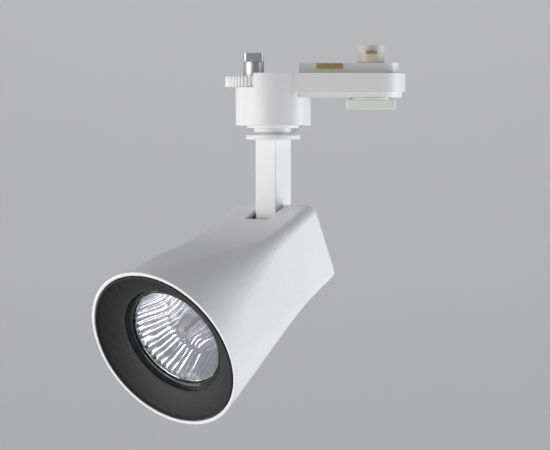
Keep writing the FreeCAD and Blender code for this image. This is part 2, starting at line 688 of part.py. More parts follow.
def contact_turret():
    """Insulating turret: hexagon end for the lever, shaft, journal and head with two brass contacts."""
    foot = hexagon("TurretFoot", "2 * turret_shaft_radius * 0.8 - 0.1", "lever_height / 2",
                   ("lever_axis", "0", "-arm_drop - lid_thickness - lever_height / 2"))
    shaft = rod("TurretShaft", "turret_shaft_radius", "arm_drop + lid_thickness",
                ("lever_axis", "0", "-arm_drop - lid_thickness"))
    journal = rod("TurretJournal", "turret_journal_radius", "arm_deck + tongue_height + 0.6",
                  ("lever_axis", "0", "-arm_deck - 0.3"))
    head = rod("TurretHead", "turret_head_radius", "turret_head_height",
               ("lever_axis", "0", "tongue_height + 0.2"))
    solid = join("TurretSolid", foot, shaft, journal, head)
    length = "contact_reach - contact_root"
    slots = []
    for name, label, low in (("LineContact", "line_contact", "-contact_reach"),
                             ("NeutralContact", "neutral_contact", "contact_root")):
        corner = ("lever_axis - contact_width / 2", low, "contact_rise")
        spans = ("contact_width", length, "contact_thickness")
        slots.append(block(name + "Slot", corner, *spans))
        finish(block(name, corner, *spans), label)
    finish(cut("ContactTurret", solid, *slots), "contact_turret")


# ---------------------------------------------------------------- locking dial and cam


def locking_dial():
    """Knurled dial in the barrel's cutaway. Upright grooves round its edge leave the ribs."""
    low = "-shoulder_drop + dial_gap"
    disc = join(
        "DialSolid",
        rod("DialDisc", "dial_radius", "dial_height", ("-cutaway_offset", "0", low)),
        rod("DialStub", "dial_stub_radius", "dial_stub_height + dial_gap",
            ("-cutaway_offset", "0", "-shoulder_drop - dial_stub_height")),
    )
    groove = rod("DialGroove", "rib_depth * 1.2", "dial_height + 1",
                 ("-cutaway_offset + dial_radius + rib_depth * 0.2", "0", f"{low} - 0.5"))
    doc.recompute()
    centre = Vector(-size("cutaway_offset"), 0, 0)
    ring = doc.addObject("Part::Feature", "DialGrooves")
    count = round(360 / size("rib_pitch_angle"))
    copies = []
    for step in range(count):
        copy = groove.Shape.copy()
        copy.rotate(centre, Vector(0, 0, 1), step * size("rib_pitch_angle"))
        copies.append(copy)
    ring.Shape = Part.makeCompound(copies)
    finish(cut("LockingDial", disc, ring), "locking_dial")


def locking_cam():
    """Neck and crosswise lug that hold the adapter up in the track."""
    neck = rod("CamNeck", "cam_neck_radius", "cam_neck_height + dial_deck + dial_gap",
               ("-cutaway_offset", "0", "-dial_deck - dial_gap"))
    lug = block("CamLug", ("-cutaway_offset - cam_width / 2", "-cam_length / 2", "cam_neck_height"),
                "cam_width", "cam_length", "cam_height")
    rounded = doc.addObject("Part::Fillet", "CamRounded")
    rounded.Base = lug
    doc.recompute()
    rounded.Edges = [
        (index, size("cam_rounding"), size("cam_rounding")) for index, edge in enumerate(lug.Shape.Edges, start=1)
        if abs(edge.BoundBox.ZLength - size("cam_height")) < 0.01
    ]
    finish(join("LockingCam", neck, rounded), "locking_cam")


# ---------------------------------------------------------------- swivel


def swivel_plate():
    """Plate that closes the barrel, with two steps, a wedge lug below and the fixed pan stop above."""
    body = new_body("SwivelPlate")
    profile = new_sketch(body, "SwivelProfile", "XZ_Plane")
    top = "-barrel_drop + swivel_plate_thickness"
    step = "-barrel_drop - swivel_step_height"
    foot = f"{step} - swivel_collar_height"
    bore = "spindle_radius + running_gap"
    polygon(profile, [
        (bore, top), ("swivel_plate_radius", top), ("swivel_plate_radius", "-barrel_drop"),
        ("swivel_step_radius", "-barrel_drop"), ("swivel_step_radius", step),
        ("swivel_collar_radius", step), ("swivel_collar_radius", foot), (bore, foot),
    ])
    revolve(body, "SwivelRings", profile, "V_Axis")
    wedge = new_sketch(body, "WedgeProfile", "XZ_Plane")
    polygon(wedge, [
        ("swivel_collar_radius - 2", "-barrel_drop"), ("wedge_top_reach", "-barrel_drop"),
        ("wedge_bottom_reach", foot), ("swivel_collar_radius - 2", foot),
    ])
    pad(body, "Wedge", wedge, "2 * wedge_half_width", midplane=True)
    stop = new_sketch(body, "PanStopPlan", "XY_Plane", top)
    heading = "(rest_heading * 1 deg)"
    corners = []
    for along, across in ((-1, -1), (1, -1), (1, 1), (-1, 1)):
        reach = f"(stop_radius + {along} * stop_reach / 2)"
        side = f"({across} * stop_width / 2)"
        corners.append((
            f"{reach} * cos({heading}) - {side} * sin({heading})",
            f"{reach} * sin({heading}) + {side} * cos({heading})",
        ))
    polygon(stop, corners)
    pad(body, "PanStop", stop, "stop_height")
    finish(body, "swivel_plate")


def spindle_stack():
    """Hollow spindle on the pan axis with the washers and the nut that carry the stem."""
    plate_top = "-barrel_drop + swivel_plate_thickness"
    bottom = "-barrel_drop - swivel_step_height - swivel_collar_height - flange_gap" \
             " - flange_neck_height - flange_thickness"
    spindle = cut(
        "Spindle",
        rod("SpindleRod", "spindle_radius", f"-spindle_top_drop - ({bottom})", ("0", "0", bottom)),
        rod("SpindleBore", "spindle_bore_radius", "40", ("0", "0", "-50")),
    )
    finish(spindle, "spindle", STEM_FRAME)
    inner = "spindle_radius + running_gap"
    level = f"{plate_top} + 0.05"
    finish(washer("ThrustWasher", "thrust_washer_radius", inner, "thrust_washer_thickness",
                  ("0", "0", level)), "thrust_washer")
    level += " + thrust_washer_thickness + 0.05"
    tab = block("StopTab", ("-stop_radius - stop_reach / 2", "-stop_width / 2", level),
                "stop_radius + stop_reach / 2 - stop_washer_radius + 1", "stop_width",
                "stop_washer_thickness")
    ring = washer("StopRing", "stop_washer_radius", inner, "stop_washer_thickness", ("0", "0", level))
    finish(join("StopWasher", ring, tab), "stop_washer", STEM_FRAME)
    level += " + stop_washer_thickness"
    finish(washer("WaveWasher", "wave_washer_radius", inner, "wave_washer_thickness",
                  ("0", "0", level)), "wave_washer", STEM_FRAME)
    level += " + wave_washer_thickness"
    nut = cut(
        "SpindleNut",
        hexagon("SpindleNutHex", "spindle_nut_flats", "spindle_nut_height", ("0", "0", level)),
        rod("SpindleNutHole", "spindle_radius + thread_gap", "spindle_nut_height + 2",
            ("0", "0", f"{level} - 1")),
    )
    finish(nut, "spindle_nut", STEM_FRAME)


def stem_flange():
    """Neck and disc on top of the stem, turning under the fixed collar."""
    body = new_body("StemFlange")
    profile = new_sketch(body, "FlangeProfile", "XZ_Plane")
    top = "-barrel_drop - swivel_step_height - swivel_collar_height - flange_gap"
    disc = f"{top} - flange_neck_height"
    foot = f"{disc} - flange_thickness"
    bore = "spindle_radius + thread_gap"
    polygon(profile, [
        (bore, top), ("flange_neck_radius", top), ("flange_neck_radius", disc),
        ("flange_radius", disc), ("flange_radius", foot), (bore, foot),
    ])
    revolve(body, "FlangeRings", profile, "V_Axis")
    round_edges(body, "FlangeRounding", "0.35",
                lambda edge: abs(edge.BoundBox.XLength - 2 * size("flange_radius")) < 0.1)
    finish(body, "stem_flange", STEM_FRAME)


# ---------------------------------------------------------------- stem


def stem():
    """Square stem with a wire way, a wire window in its front and a round lower end on the pivot."""
    top = "-barrel_drop - swivel_step_height - swivel_collar_height - flange_gap" \
          " - flange_neck_height - flange_thickness"
    body = new_body("Stem")
    side = new_sketch(body, "StemSide", "XZ_Plane")
    rectangle(side, "-stem_side / 2", "-pivot_drop", "stem_side / 2", top)
    pad(body, "StemBar", side, "stem_side", midplane=True)
    end = new_sketch(body, "StemEnd", "XZ_Plane")
    circle(end, "0", "-pivot_drop", "stem_side / 2")
    pad(body, "StemEyeRound", end, "stem_side", midplane=True)
    length = size("pivot_drop") + size(top)
    round_edges(body, "StemEdges", "stem_edge",
                lambda edge: abs(edge.BoundBox.ZLength - length) < 0.1)
    bore = new_sketch(body, "StemBorePlan", "XY_Plane", top)
    circle(bore, "0", "0", "stem_bore_radius")
    pocket(body, "StemBore", bore, f"pivot_drop - stem_bore_end + ({top})")
    window = new_sketch(body, "StemWindowPlan", "YZ_Plane", "stem_side")
    floor = "-pivot_drop + stem_bore_end"
    rectangle(window, "-window_width / 2", floor, "window_width / 2", f"{floor} + window_height")
    pocket(body, "StemWindow", window, "stem_side")
    eye = new_sketch(body, "StemEyePlan", "XZ_Plane")
    circle(eye, "0", "-pivot_drop", "pivot_radius + running_gap")
    pocket(body, "StemEye", eye, "stem_side + 2", midplane=True)
    finish(body, "stem", STEM_FRAME)


def stem_leads():
    """Live, neutral and earth leads in the stem, from the terminal block down to the window."""
    bottom = "-pivot_drop + stem_bore_end + 2"
    length = f"-spindle_top_drop + 1 - ({bottom})"
    for label, angle in (("live_lead", 90), ("neutral_lead", 210), ("earth_lead", 330)):
        name = label.title().replace("_", "")
        at = (f"wire_offset * cos({angle} deg)", f"wire_offset * sin({angle} deg)", bottom)
        finish(rod(name, "wire_radius", length, at), label, STEM_FRAME)


# ---------------------------------------------------------------- head shell


STATIONS = [
    (f"mouth_offset - station_depth_{key}", f"half_width_{key}", f"half_height_{key}", f"corner_{key}")
    for key in "abcdef"
]


def shell_sections(body, name, inset_mouth, inset):
    """Section sketches from the round mouth back to the rounded square rear."""
    sketches = []
    mouth = f"mouth_radius - {inset_mouth}"
    sections = [("mouth_offset", mouth, mouth, f"{mouth} - mouth_flat", "0")]
    sections += [station + (inset,) for station in STATIONS]
    for index, (place, half_width, half_height, corner, less) in enumerate(sections):
        if inset != "0" and index == len(sections) - 1:
            place += " + rear_wall"
        sketch = new_sketch(body, f"{name}Section{index}", "YZ_Plane", place)
        rounded_rectangle(sketch, f"({half_width} - {less})", f"({half_height} - {less})",
                          f"({corner} - {less})")
        sketch.Visibility = False
        sketches.append(sketch)
    return sketches


def loft(body, kind, name, sketches):
    thing = body.newObject("PartDesign::" + kind, name)
    thing.Profile = sketches[0]
    thing.Sections = sketches[1:]
    thing.Ruled = False
    return thing


def head_shell():
    """Die-cast shell: round flared mouth, rounded square rear, stem slot in the top and rear faces."""
    body = new_body("HeadShell")
    loft(body, "AdditiveLoft", "Outside", shell_sections(body, "Outside", "0", "0"))
    rear = size("mouth_offset - station_depth_f")
    round_edges(body, "RearRounding", "rear_edge",
                lambda edge: edge.BoundBox.XMax < rear + 0.01)
    inside = shell_sections(body, "Inside", "rim_wall", "shell_wall")
    loft(body, "SubtractiveLoft", "Inside", inside)
    posts = new_sketch(body, "PostPlan", "YZ_Plane", "mouth_offset - station_depth_f + rear_wall / 2")
    for side in ("-", ""):
        circle(posts, f"{side}post_offset", "0", "post_radius")
    pad(body, "ScrewPosts", posts,
        "plate_front - bracket_thickness - mouth_offset + station_depth_f - rear_wall / 2")
    holes = new_sketch(body, "PostHolePlan", "YZ_Plane", "plate_front")
    for side in ("-", ""):
        circle(holes, f"{side}post_offset", "0", "bracket_screw_radius + thread_gap")
    pocket(body, "ScrewHoles", holes, "bracket_screw_length + 1")
    slot = new_sketch(body, "SlotPlan", "YZ_Plane", "slot_front")
    rectangle(slot, "-slot_half_width", "-slot_half_width",
              "slot_half_width", "half_height_f + 20")
    pocket(body, "StemSlot", slot, "station_depth_f - mouth_offset + slot_front + 1")
    finish(body, "head_shell", HEAD_FRAME)


# ---------------------------------------------------------------- bracket and pivot


def ear_inner_expression():
    return "stem_side / 2 + washer_gap + friction_washer_thickness"


def tilt_bracket():
    """Folded steel bracket: a plate that carries the lamp holder, and two ears for the pivot."""
    inner = ear_inner_expression()
    back = "plate_front - bracket_thickness"
    plate = block("BracketPlate", (back, "-plate_half_width", "-plate_half_height"),
                  "bracket_thickness", "2 * plate_half_width", "2 * plate_half_height")
    solids = [plate]
    for name, low in (("Left", inner), ("Right", f"-({inner}) - ear_thickness")):
        solids.append(block("Ear" + name, ("0", low, "-ear_half_height"), f"{back} + 0.5",
                            "ear_thickness", "2 * ear_half_height"))
        solids.append(rod("EarRound" + name, "ear_half_height", "ear_thickness", ("0", low, "0"), "y"))
    tools = [
        rod("BracketEye", "pivot_radius + thread_gap", "40", ("0", "-20", "0"), "y"),
        rod("BracketWireHole", "plate_wire_hole_radius", "10", (f"{back} - 4", "0",
                                                                "plate_wire_hole_rise"), "x"),
    ]
    for name, side in (("Left", ""), ("Right", "-")):
        tools.append(rod("PlateHole" + name, "bracket_screw_radius + 0.15", "10",
                         (f"{back} - 4", f"{side}post_offset", "0"), "x"))
        tools.append(rod("HolderHole" + name, "holder_screw_radius + thread_gap", "10",
                         (f"{back} - 4", "0", f"{side}holder_screw_offset"), "x")
                     if side == "-" else
                     rod("EarthHole", "lid_screw_radius + thread_gap", "10",
                         (f"{back} - 4", "-post_offset", "-plate_half_height + 5"), "x"))
    finish(cut("TiltBracket", join("BracketSolid", *solids), *tools), "tilt_bracket", HEAD_FRAME)


def bracket_screws():
    """Two screws from the front, through the plate into the shell's posts."""
    screws = []
    for name, side in (("Left", ""), ("Right", "-")):
        screws.append(screw("BracketScrew" + name, "bracket_screw_radius", "bracket_screw_length",
                            "bracket_screw_head_radius", "bracket_screw_head_height",
                            ("plate_front", f"{side}post_offset", "0"), "x", False))
    finish(group("BracketScrews", *screws), "bracket_screws", HEAD_FRAME)


def pivot():
    """Pivot bolt, friction washers, disc spring and lock nut on the tilt axis."""
    inner = ear_inner_expression()
    outer = f"{inner} + ear_thickness"
    stack = f"{outer} + disc_spring_thickness"
    bolt = cut(
        "PivotBolt",
        join(
            "PivotBoltSolid",
            rod("PivotShank", "pivot_radius", f"({outer}) + ({stack}) + pivot_nut_height + 1",
                ("0", f"-({outer})", "0"), "y"),
            rod("PivotHead", "bolt_head_radius", "bolt_head_height",
                ("0", f"-({outer}) - bolt_head_height", "0"), "y"),
        ),
        hexagon("PivotSocket", "hex_socket_flats", "bolt_head_height",
                ("0", f"-({outer}) - bolt_head_height - 1", "0"), "y"),
    )
    finish(bolt, "pivot_bolt", HEAD_FRAME)
    hole = "pivot_radius + running_gap"
    washers = [
        washer("FrictionWasherLeft", "friction_washer_radius", hole, "friction_washer_thickness",
               ("0", "stem_side / 2 + washer_gap", "0"), "y"),
        washer("FrictionWasherRight", "friction_washer_radius", hole, "friction_washer_thickness",
               ("0", f"-({inner})", "0"), "y"),
    ]
    finish(group("FrictionWashers", *washers), "friction_washers", HEAD_FRAME)
    finish(washer("DiscSpring", "disc_spring_radius", hole, "disc_spring_thickness",
                  ("0", outer, "0"), "y"), "disc_spring", HEAD_FRAME)
    nut = cut(
        "PivotNut",
        hexagon("PivotNutHex", "pivot_nut_flats", "pivot_nut_height", ("0", stack, "0"), "y"),
        rod("PivotNutHole", "pivot_radius + thread_gap", "pivot_nut_height + 2",
            ("0", f"{stack} - 1", "0"), "y"),
    )
    finish(nut, "pivot_lock_nut", HEAD_FRAME)


# ---------------------------------------------------------------- lamp holder


HOLDER_BACK = "plate_front + holder_gap"
HOLDER_FRONT = "mouth_offset - lamp_depth - glass_recess - glass_thickness - bowl_depth" \
               " + base_socket_depth - base_length - holder_front_gap"


def keyhole(name, turn):
    """A curved slot for one lamp pin: a ring sector with round ends, seen along the optical axis."""
    low = f"{HOLDER_FRONT} - keyhole_depth"
    half = "(pin_head_radius + keyhole_gap)"
    sector = doc.addObject("Part::Cylinder", name + "Sector")
    bind(sector, Radius=f"pin_offset + {half}", Height="keyhole_depth + 1", Angle="twist_angle")
    inner = rod(name + "Inner", f"pin_offset - {half}", "keyhole_depth + 3", ("0", "0", "-1"))
    ends = []
    for end, text in (("Locked", "0 deg"), ("Free", "twist_angle * 1 deg")):
        at = (f"pin_offset * cos({text})", f"pin_offset * sin({text})", "0")
        ends.append(rod(f"{name}{end}", half, "keyhole_depth + 1", at))
    shape = join(name, cut(name + "Ring", sector, inner), *ends)
    shape.Placement = Placement(Vector(), Rotation(Vector(1, 0, 0), turn) * ALONG["x"])
    bind(shape, Placement__Base__x=low)
    return shape


def lamp_holder():
    """Ceramic GU10 holder with two curved keyholes, its screw and its spring contacts."""
    body = rod("HolderBody", "holder_radius", f"{HOLDER_FRONT} - ({HOLDER_BACK})",
               (HOLDER_BACK, "0", "0"), "x")
    seat = f"{HOLDER_FRONT} - 3"
    tools = [keyhole("KeyholeLeft", 90), keyhole("KeyholeRight", 270)]
    tools.append(rod("HolderScrewHole", "holder_screw_radius + 0.15", "40",
                     (f"{HOLDER_BACK} - 5", "0", "-holder_screw_offset"), "x"))
    tools.append(rod("HolderScrewSeat", "holder_screw_head_radius + 0.2", "10",
                     (seat, "0", "-holder_screw_offset"), "x"))
    tools.append(rod("HolderWireWay", "plate_wire_hole_radius", "6",
                     (f"{HOLDER_BACK} - 1", "0", "plate_wire_hole_rise"), "x"))
    finish(cut("LampHolder", body, *tools), "lamp_holder", HEAD_FRAME)
    fixing = screw("HolderScrew", "holder_screw_radius", f"{seat} - plate_front + 2",
                   "holder_screw_head_radius", "holder_screw_head_height",
                   (seat, "0", "-holder_screw_offset"), "x", False)
    finish(fixing, "holder_screw", HEAD_FRAME)
    springs = []
    for name, centre in (("Left", "pin_offset"), ("Right", "-pin_offset")):
        springs.append(block(
            "SpringContact" + name,
            (f"{HOLDER_FRONT} - keyhole_depth + 0.1", f"{centre} - spring_contact_width / 2",
             "-spring_contact_width / 2"),
            "spring_contact_thickness", "spring_contact_width", "spring_contact_width"))
    finish(group("SpringContacts", *springs), "holder_contacts", HEAD_FRAME)


def head_leads():
    """Leads in the head, from beside the stem's window through the plate to the holder."""
    low = "stem_side / 2 + 3.4"
    length = f"{HOLDER_BACK} + 4 - ({low})"
    for label, side in (("holder_live_lead", "-"), ("holder_neutral_lead", "")):
        name = label.title().replace("_", "")
        at = (low, f"{side}wire_offset", "plate_wire_hole_rise")
        finish(rod(name, "wire_radius", length, at, "x"), label, HEAD_FRAME)
    tag = washer("EarthTag", "3", "lid_screw_radius + 0.2", "0.8",
                 ("plate_front - bracket_thickness - 0.8", "-post_offset", "-plate_half_height + 5"),
                 "x")
    finish(tag, "earth_tag", HEAD_FRAME)
    fixing = screw("EarthScrew", "lid_screw_radius", "4.5", "lid_screw_head_radius",
                   "lid_screw_head_height",
                   ("plate_front - bracket_thickness - 0.8", "-post_offset", "-plate_half_height + 5"),
                   "x", True)
    finish(fixing, "earth_screw", HEAD_FRAME)


# ---------------------------------------------------------------- baffle


def baffle_ring():
    """Matt anti-glare ring: a shallow dish from a bead in the mouth in to the hole round the lamp."""
    def place(text):
        return size(f"mouth_offset - ({text})")
    bead = Vector(place("-baffle_proud"), 0, size("baffle_lip_radius - baffle_bead_width"))
    hole = Vector(place("baffle_depth"), 0, size("baffle_hole_radius"))
    along = hole - bead
    normal = Vector(along.z, 0, -along.x).normalize()
    middle = bead + along * 0.5 + normal * size("baffle_sag")
    if middle.x > (bead.x + hole.x) / 2:
        middle = bead + along * 0.5 - normal * size("baffle_sag")
    dish = Part.Arc(bead, middle, hole).toShape()
    corners = [
        hole,
        Vector(place("baffle_depth + baffle_sheet"), 0, size("baffle_hole_radius")),
        Vector(place("baffle_skirt_depth + baffle_sheet"), 0, size("baffle_hole_radius + 3")),
        Vector(place("baffle_skirt_depth"), 0, size("baffle_skirt_inner")),
        Vector(place("baffle_skirt_depth"), 0, size("baffle_skirt_radius")),
        Vector(place("0.6"), 0, size("baffle_lip_radius - 0.15")),
        Vector(place("0"), 0, size("baffle_lip_radius")),
        Vector(place("-baffle_proud"), 0, size("baffle_lip_radius")),
        bead,
    ]
    lines = [Part.makeLine(start, stop) for start, stop in zip(corners, corners[1:])]
    face = Part.Face(Part.Wire([dish] + lines))
    ring = doc.addObject("Part::Feature", "BaffleRing")
    ring.Shape = face.revolve(Vector(), Vector(1, 0, 0), 360)
    finish(ring, "baffle_ring", HEAD_FRAME)


# ---------------------------------------------------------------- lamp


def parabola_points(front, depth, mouth, throat, count):
    """Points of a bowl: the square of the radius grows evenly along the axis."""
    points = []
    for step in range(count + 1):
        share = step / count
        radius = math.sqrt(mouth ** 2 + (throat ** 2 - mouth ** 2) * share)
        points.append(Vector(front - depth * share, 0, radius))
    return points


def curve_through(points):
    curve = Part.BSplineCurve()
    curve.interpolate(points)
    return curve.toShape()


def lamp_reflector():
    """Glass reflector: rim band, seat for the cover glass, parabolic bowl and neck."""
    rim = size("mouth_offset - lamp_depth")
    seat = rim - size("glass_recess + glass_thickness")
    throat = seat - size("bowl_depth")
    inner = parabola_points(seat, size("bowl_depth"), size("bowl_radius"), size("bowl_throat_radius"), 8)
    band = rim - size("lamp_rim_height")
    outer = parabola_points(band, band - throat, size("lamp_radius - 0.6"),
                            size("bowl_neck_radius"), 8)
    line = Part.makeLine
    edges = [
        line(Vector(rim, 0, size("lamp_face_radius + 0.1")), Vector(rim, 0, size("lamp_radius"))),
        line(Vector(rim, 0, size("lamp_radius")), Vector(band, 0, size("lamp_radius"))),
        line(Vector(band, 0, size("lamp_radius")), outer[0]),
        curve_through(outer),
        line(outer[-1], inner[-1]),
        curve_through(inner),
        line(inner[0], Vector(seat, 0, size("lamp_face_radius + 0.1"))),
        line(Vector(seat, 0, size("lamp_face_radius + 0.1")),
             Vector(rim, 0, size("lamp_face_radius + 0.1"))),
    ]
    face = Part.Face(Part.Wire(Part.__sortEdges__(edges)))
    bowl = doc.addObject("Part::Feature", "LampReflector")
    bowl.Shape = face.revolve(Vector(), Vector(1, 0, 0), 360)
    finish(bowl, "lamp_reflector", HEAD_FRAME)


def lamp_glass():
    """Cover glass in the reflector's rim."""
    place = "mouth_offset - lamp_depth - glass_recess - glass_thickness"
    finish(rod("LampGlass", "lamp_face_radius", "glass_thickness", (place, "0", "0"), "x"),
           "lamp_cover_glass", HEAD_FRAME)


LAMP_THROAT = "mouth_offset - lamp_depth - glass_recess - glass_thickness - bowl_depth"


def lamp_base():
    """Ceramic base: a tapered cup round the reflector's neck."""
    body = new_body("LampBase")
    profile = new_sketch(body, "BaseProfile", "XZ_Plane")
    front = f"{LAMP_THROAT} + base_socket_depth"
    back = f"{front} - base_length"
    floor = f"{LAMP_THROAT} - 0.05"
    polygon(profile, [
        (back, "0"), (back, "base_rear_radius"),
        (f"{back} + base_shoulder_length", "base_rear_radius"),
        (front, "base_front_radius"), (front, "base_socket_radius"),
        (floor, "base_socket_radius"), (floor, "0"),
    ])
    revolve(body, "BaseTurning", profile, "H_Axis")
    finish(body, "lamp_base", HEAD_FRAME)


def lamp_pins():
    """Two lamp pins with wider heads, 10 mm apart."""
    back = f"{LAMP_THROAT} + base_socket_depth - base_length"
    pins = []
    for name, side in (("Left", ""), ("Right", "-")):
        pins.append(join(
            "LampPin" + name,
            rod(f"PinNeck{name}", "pin_neck_radius", "pin_length",
                (f"{back} - pin_length", f"{side}pin_offset", "0"), "x"),
            rod(f"PinHead{name}", "pin_head_radius", "pin_head_length",
                (f"{back} - pin_length", f"{side}pin_offset", "0"), "x"),
        ))
    finish(group("LampPins", *pins), "lamp_pins", HEAD_FRAME)


def lamp_capsule():
    """Quartz capsule on the base, hollow, with the coiled filament inside it."""
    start = f"{LAMP_THROAT}"
    tip = f"{start} + capsule_length"
    outside = doc.addObject("Part::Sphere", "CapsuleDome")
    bind(outside, Radius="capsule_radius")
    move(outside, (tip, "0", "0"))
    inside = doc.addObject("Part::Sphere", "CapsuleInsideDome")
    bind(inside, Radius="capsule_radius - capsule_wall")
    move(inside, (tip, "0", "0"))
    solid = join("CapsuleSolid", outside,
                 rod("CapsuleTube", "capsule_radius", "capsule_length", (start, "0", "0"), "x"))
    hollow = join("CapsuleHollow", inside,
                  rod("CapsuleBore", "capsule_radius - capsule_wall", "capsule_length - 3",
                      (f"{start} + 3", "0", "0"), "x"))
    finish(cut("LampCapsule", solid, hollow), "lamp_capsule", HEAD_FRAME)
    finish(rod("Filament", "filament_radius", "filament_length",
               (f"{tip} - filament_length + 1.5", "0", "0"), "x"), "lamp_filament", HEAD_FRAME)


# ---------------------------------------------------------------- build, check and write


adapter_body()
arm_lid()
lid_screws()
busbars_and_contacts()
terminal_block()
contact_lever()
contact_turret()
locking_dial()
locking_cam()
swivel_plate()
spindle_stack()
stem_flange()
stem()
stem_leads()
head_shell()
tilt_bracket()
bracket_screws()
pivot()
lamp_holder()
head_leads()
baffle_ring()
lamp_reflector()
lamp_glass()
lamp_base()
lamp_pins()
lamp_capsule()

doc.recompute()

for thing in doc.Objects:
    if "Invalid" in thing.State or "Error" in thing.State:
        raise RuntimeError(f"{thing.Label} failed: {thing.State}")

os.makedirs("parts", exist_ok=True)
for thing in sub_parts:
    shape = thing.Shape
    if shape.isNull() or not shape.isValid() or not shape.Solids:
        raise RuntimeError(f"{thing.Label} has no valid solid")
    shape.exportStep(f"parts/{thing.Label}.step")
    print(f"{thing.Label}: {len(shape.Solids)} solid(s), {shape.Volume:.1f} cubic mm")
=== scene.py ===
# A white track spotlight with a GU10 reflector lamp, as it hangs from its track by the adapter.
# The head comes first, then the lamp inside it, the stem, the adapter, and last the room.
import json
import math

import bmesh
import bpy
import numpy as np
from mathutils import Matrix, Vector


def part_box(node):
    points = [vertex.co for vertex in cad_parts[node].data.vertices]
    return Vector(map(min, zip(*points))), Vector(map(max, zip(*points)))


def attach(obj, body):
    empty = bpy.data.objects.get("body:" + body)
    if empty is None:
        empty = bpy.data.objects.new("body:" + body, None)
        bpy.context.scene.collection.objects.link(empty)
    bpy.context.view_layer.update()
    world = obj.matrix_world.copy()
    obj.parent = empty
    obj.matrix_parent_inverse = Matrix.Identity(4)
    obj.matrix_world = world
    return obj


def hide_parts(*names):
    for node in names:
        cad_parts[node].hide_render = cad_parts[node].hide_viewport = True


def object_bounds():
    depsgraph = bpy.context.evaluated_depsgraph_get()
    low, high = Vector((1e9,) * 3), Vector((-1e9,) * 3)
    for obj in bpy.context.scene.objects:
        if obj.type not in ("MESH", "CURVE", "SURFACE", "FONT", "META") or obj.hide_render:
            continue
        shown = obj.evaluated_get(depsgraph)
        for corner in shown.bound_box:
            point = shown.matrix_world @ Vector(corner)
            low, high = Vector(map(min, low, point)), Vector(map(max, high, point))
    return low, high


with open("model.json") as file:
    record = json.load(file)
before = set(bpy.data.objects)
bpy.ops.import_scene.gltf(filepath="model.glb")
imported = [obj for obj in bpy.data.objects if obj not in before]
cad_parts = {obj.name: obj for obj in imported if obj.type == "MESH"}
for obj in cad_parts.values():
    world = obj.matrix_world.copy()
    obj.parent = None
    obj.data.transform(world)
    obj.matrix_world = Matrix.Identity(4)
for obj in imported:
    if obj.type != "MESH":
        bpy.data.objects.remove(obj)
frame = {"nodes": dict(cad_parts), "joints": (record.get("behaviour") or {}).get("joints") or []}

cad_low, cad_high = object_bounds()

# ---------------------------------------------------------------- head shell
# Die-cast aluminium, powder coated white with a fine sandy grain. Its mouth is round and flared,
# its rear a rounded square, and a slot in the top and rear faces lets the stem pass as it tilts.

joints = {joint["name"]: joint for joint in frame["joints"]}
pivot = Vector(joints["tilt"]["pos_m"])
ahead = Vector(joints["lamp_twist"]["axis"]).normalized()
left = Vector(joints["tilt"]["axis"]).normalized()
millimetres = Matrix.Scale(0.001, 4)
head_place = (
    Matrix.Translation(pivot)
    @ Matrix((ahead, left, ahead.cross(left))).transposed().to_4x4()
    @ millimetres
)


def reach(node, direction=ahead):
    """Least and greatest distance of a CAD node from the tilt pivot along a direction, in millimetres."""
    along = [(vertex.co - pivot).dot(direction) * 1000 for vertex in frame["nodes"][node].data.vertices]
    return min(along), max(along)


def coat(name, colour, roughness, grain, depth, mottle=0.03, patch=9, **sockets):
    """A finish with a fine surface grain, and with slight patches in its colour and its gloss.
    grain, depth and patch are in millimetres. Other shader sockets are given by name."""
    material = bpy.data.materials.new(name)
    material.use_nodes = True
    nodes, links = material.node_tree.nodes, material.node_tree.links
    shader = nodes["Principled BSDF"]
    for socket, value in sockets.items():
        shader.inputs[socket.replace("_", " ")].default_value = value
    place = nodes.new("ShaderNodeTexCoord")
    fine, broad = nodes.new("ShaderNodeTexNoise"), nodes.new("ShaderNodeTexNoise")
    for noise, width, detail in ((fine, grain, 3), (broad, patch, 4)):
        noise.inputs["Scale"].default_value = 1000 / width
        noise.inputs["Detail"].default_value = detail
        links.new(place.outputs["Object"], noise.inputs["Vector"])
    bump = nodes.new("ShaderNodeBump")
    bump.inputs["Strength"].default_value = 1
    bump.inputs["Distance"].default_value = depth / 1000
    links.new(fine.outputs["Fac"], bump.inputs["Height"])
    links.new(bump.outputs["Normal"], shader.inputs["Normal"])
    tint = nodes.new("ShaderNodeMix")
    tint.data_type = "RGBA"
    tint.inputs["A"].default_value = (*(value * (1 - mottle) for value in colour), 1)
    tint.inputs["B"].default_value = (*(min(1, value * (1 + mottle)) for value in colour), 1)
    links.new(broad.outputs["Fac"], tint.inputs["Factor"])
    links.new(tint.outputs["Result"], shader.inputs["Base Color"])
    gloss = nodes.new("ShaderNodeMapRange")
    gloss.inputs["To Min"].default_value = roughness * 0.85
    gloss.inputs["To Max"].default_value = min(1, roughness * 1.15)
    links.new(broad.outputs["Fac"], gloss.inputs["Value"])
    links.new(gloss.outputs["Result"], shader.inputs["Roughness"])
    return material


def solid(name, points, faces, place, material):
    """A mesh piece from points in millimetres, put in its place, with its faces turned outwards."""
    mesh = bpy.data.meshes.new(name)
    mesh.from_pydata(points, [], faces)
    mesh.transform(place)
    work = bmesh.new()
    work.from_mesh(mesh)
    bmesh.ops.recalc_face_normals(work, faces=work.faces)
    work.to_mesh(mesh)
    work.free()
    mesh.materials.append(material)
    piece = bpy.data.objects.new(name, mesh)
    bpy.context.scene.collection.objects.link(piece)
    return piece


def settle(piece, sharp=32):
    """The shape that a piece's modifiers make becomes its plain mesh, smooth but for its sharp edges."""
    graph = bpy.context.evaluated_depsgraph_get()
    mesh = bpy.data.meshes.new_from_object(piece.evaluated_get(graph), depsgraph=graph)
    piece.modifiers.clear()
    piece.data = mesh
    mesh.shade_smooth()
    mesh.set_sharp_from_angle(angle=math.radians(sharp))
    return piece


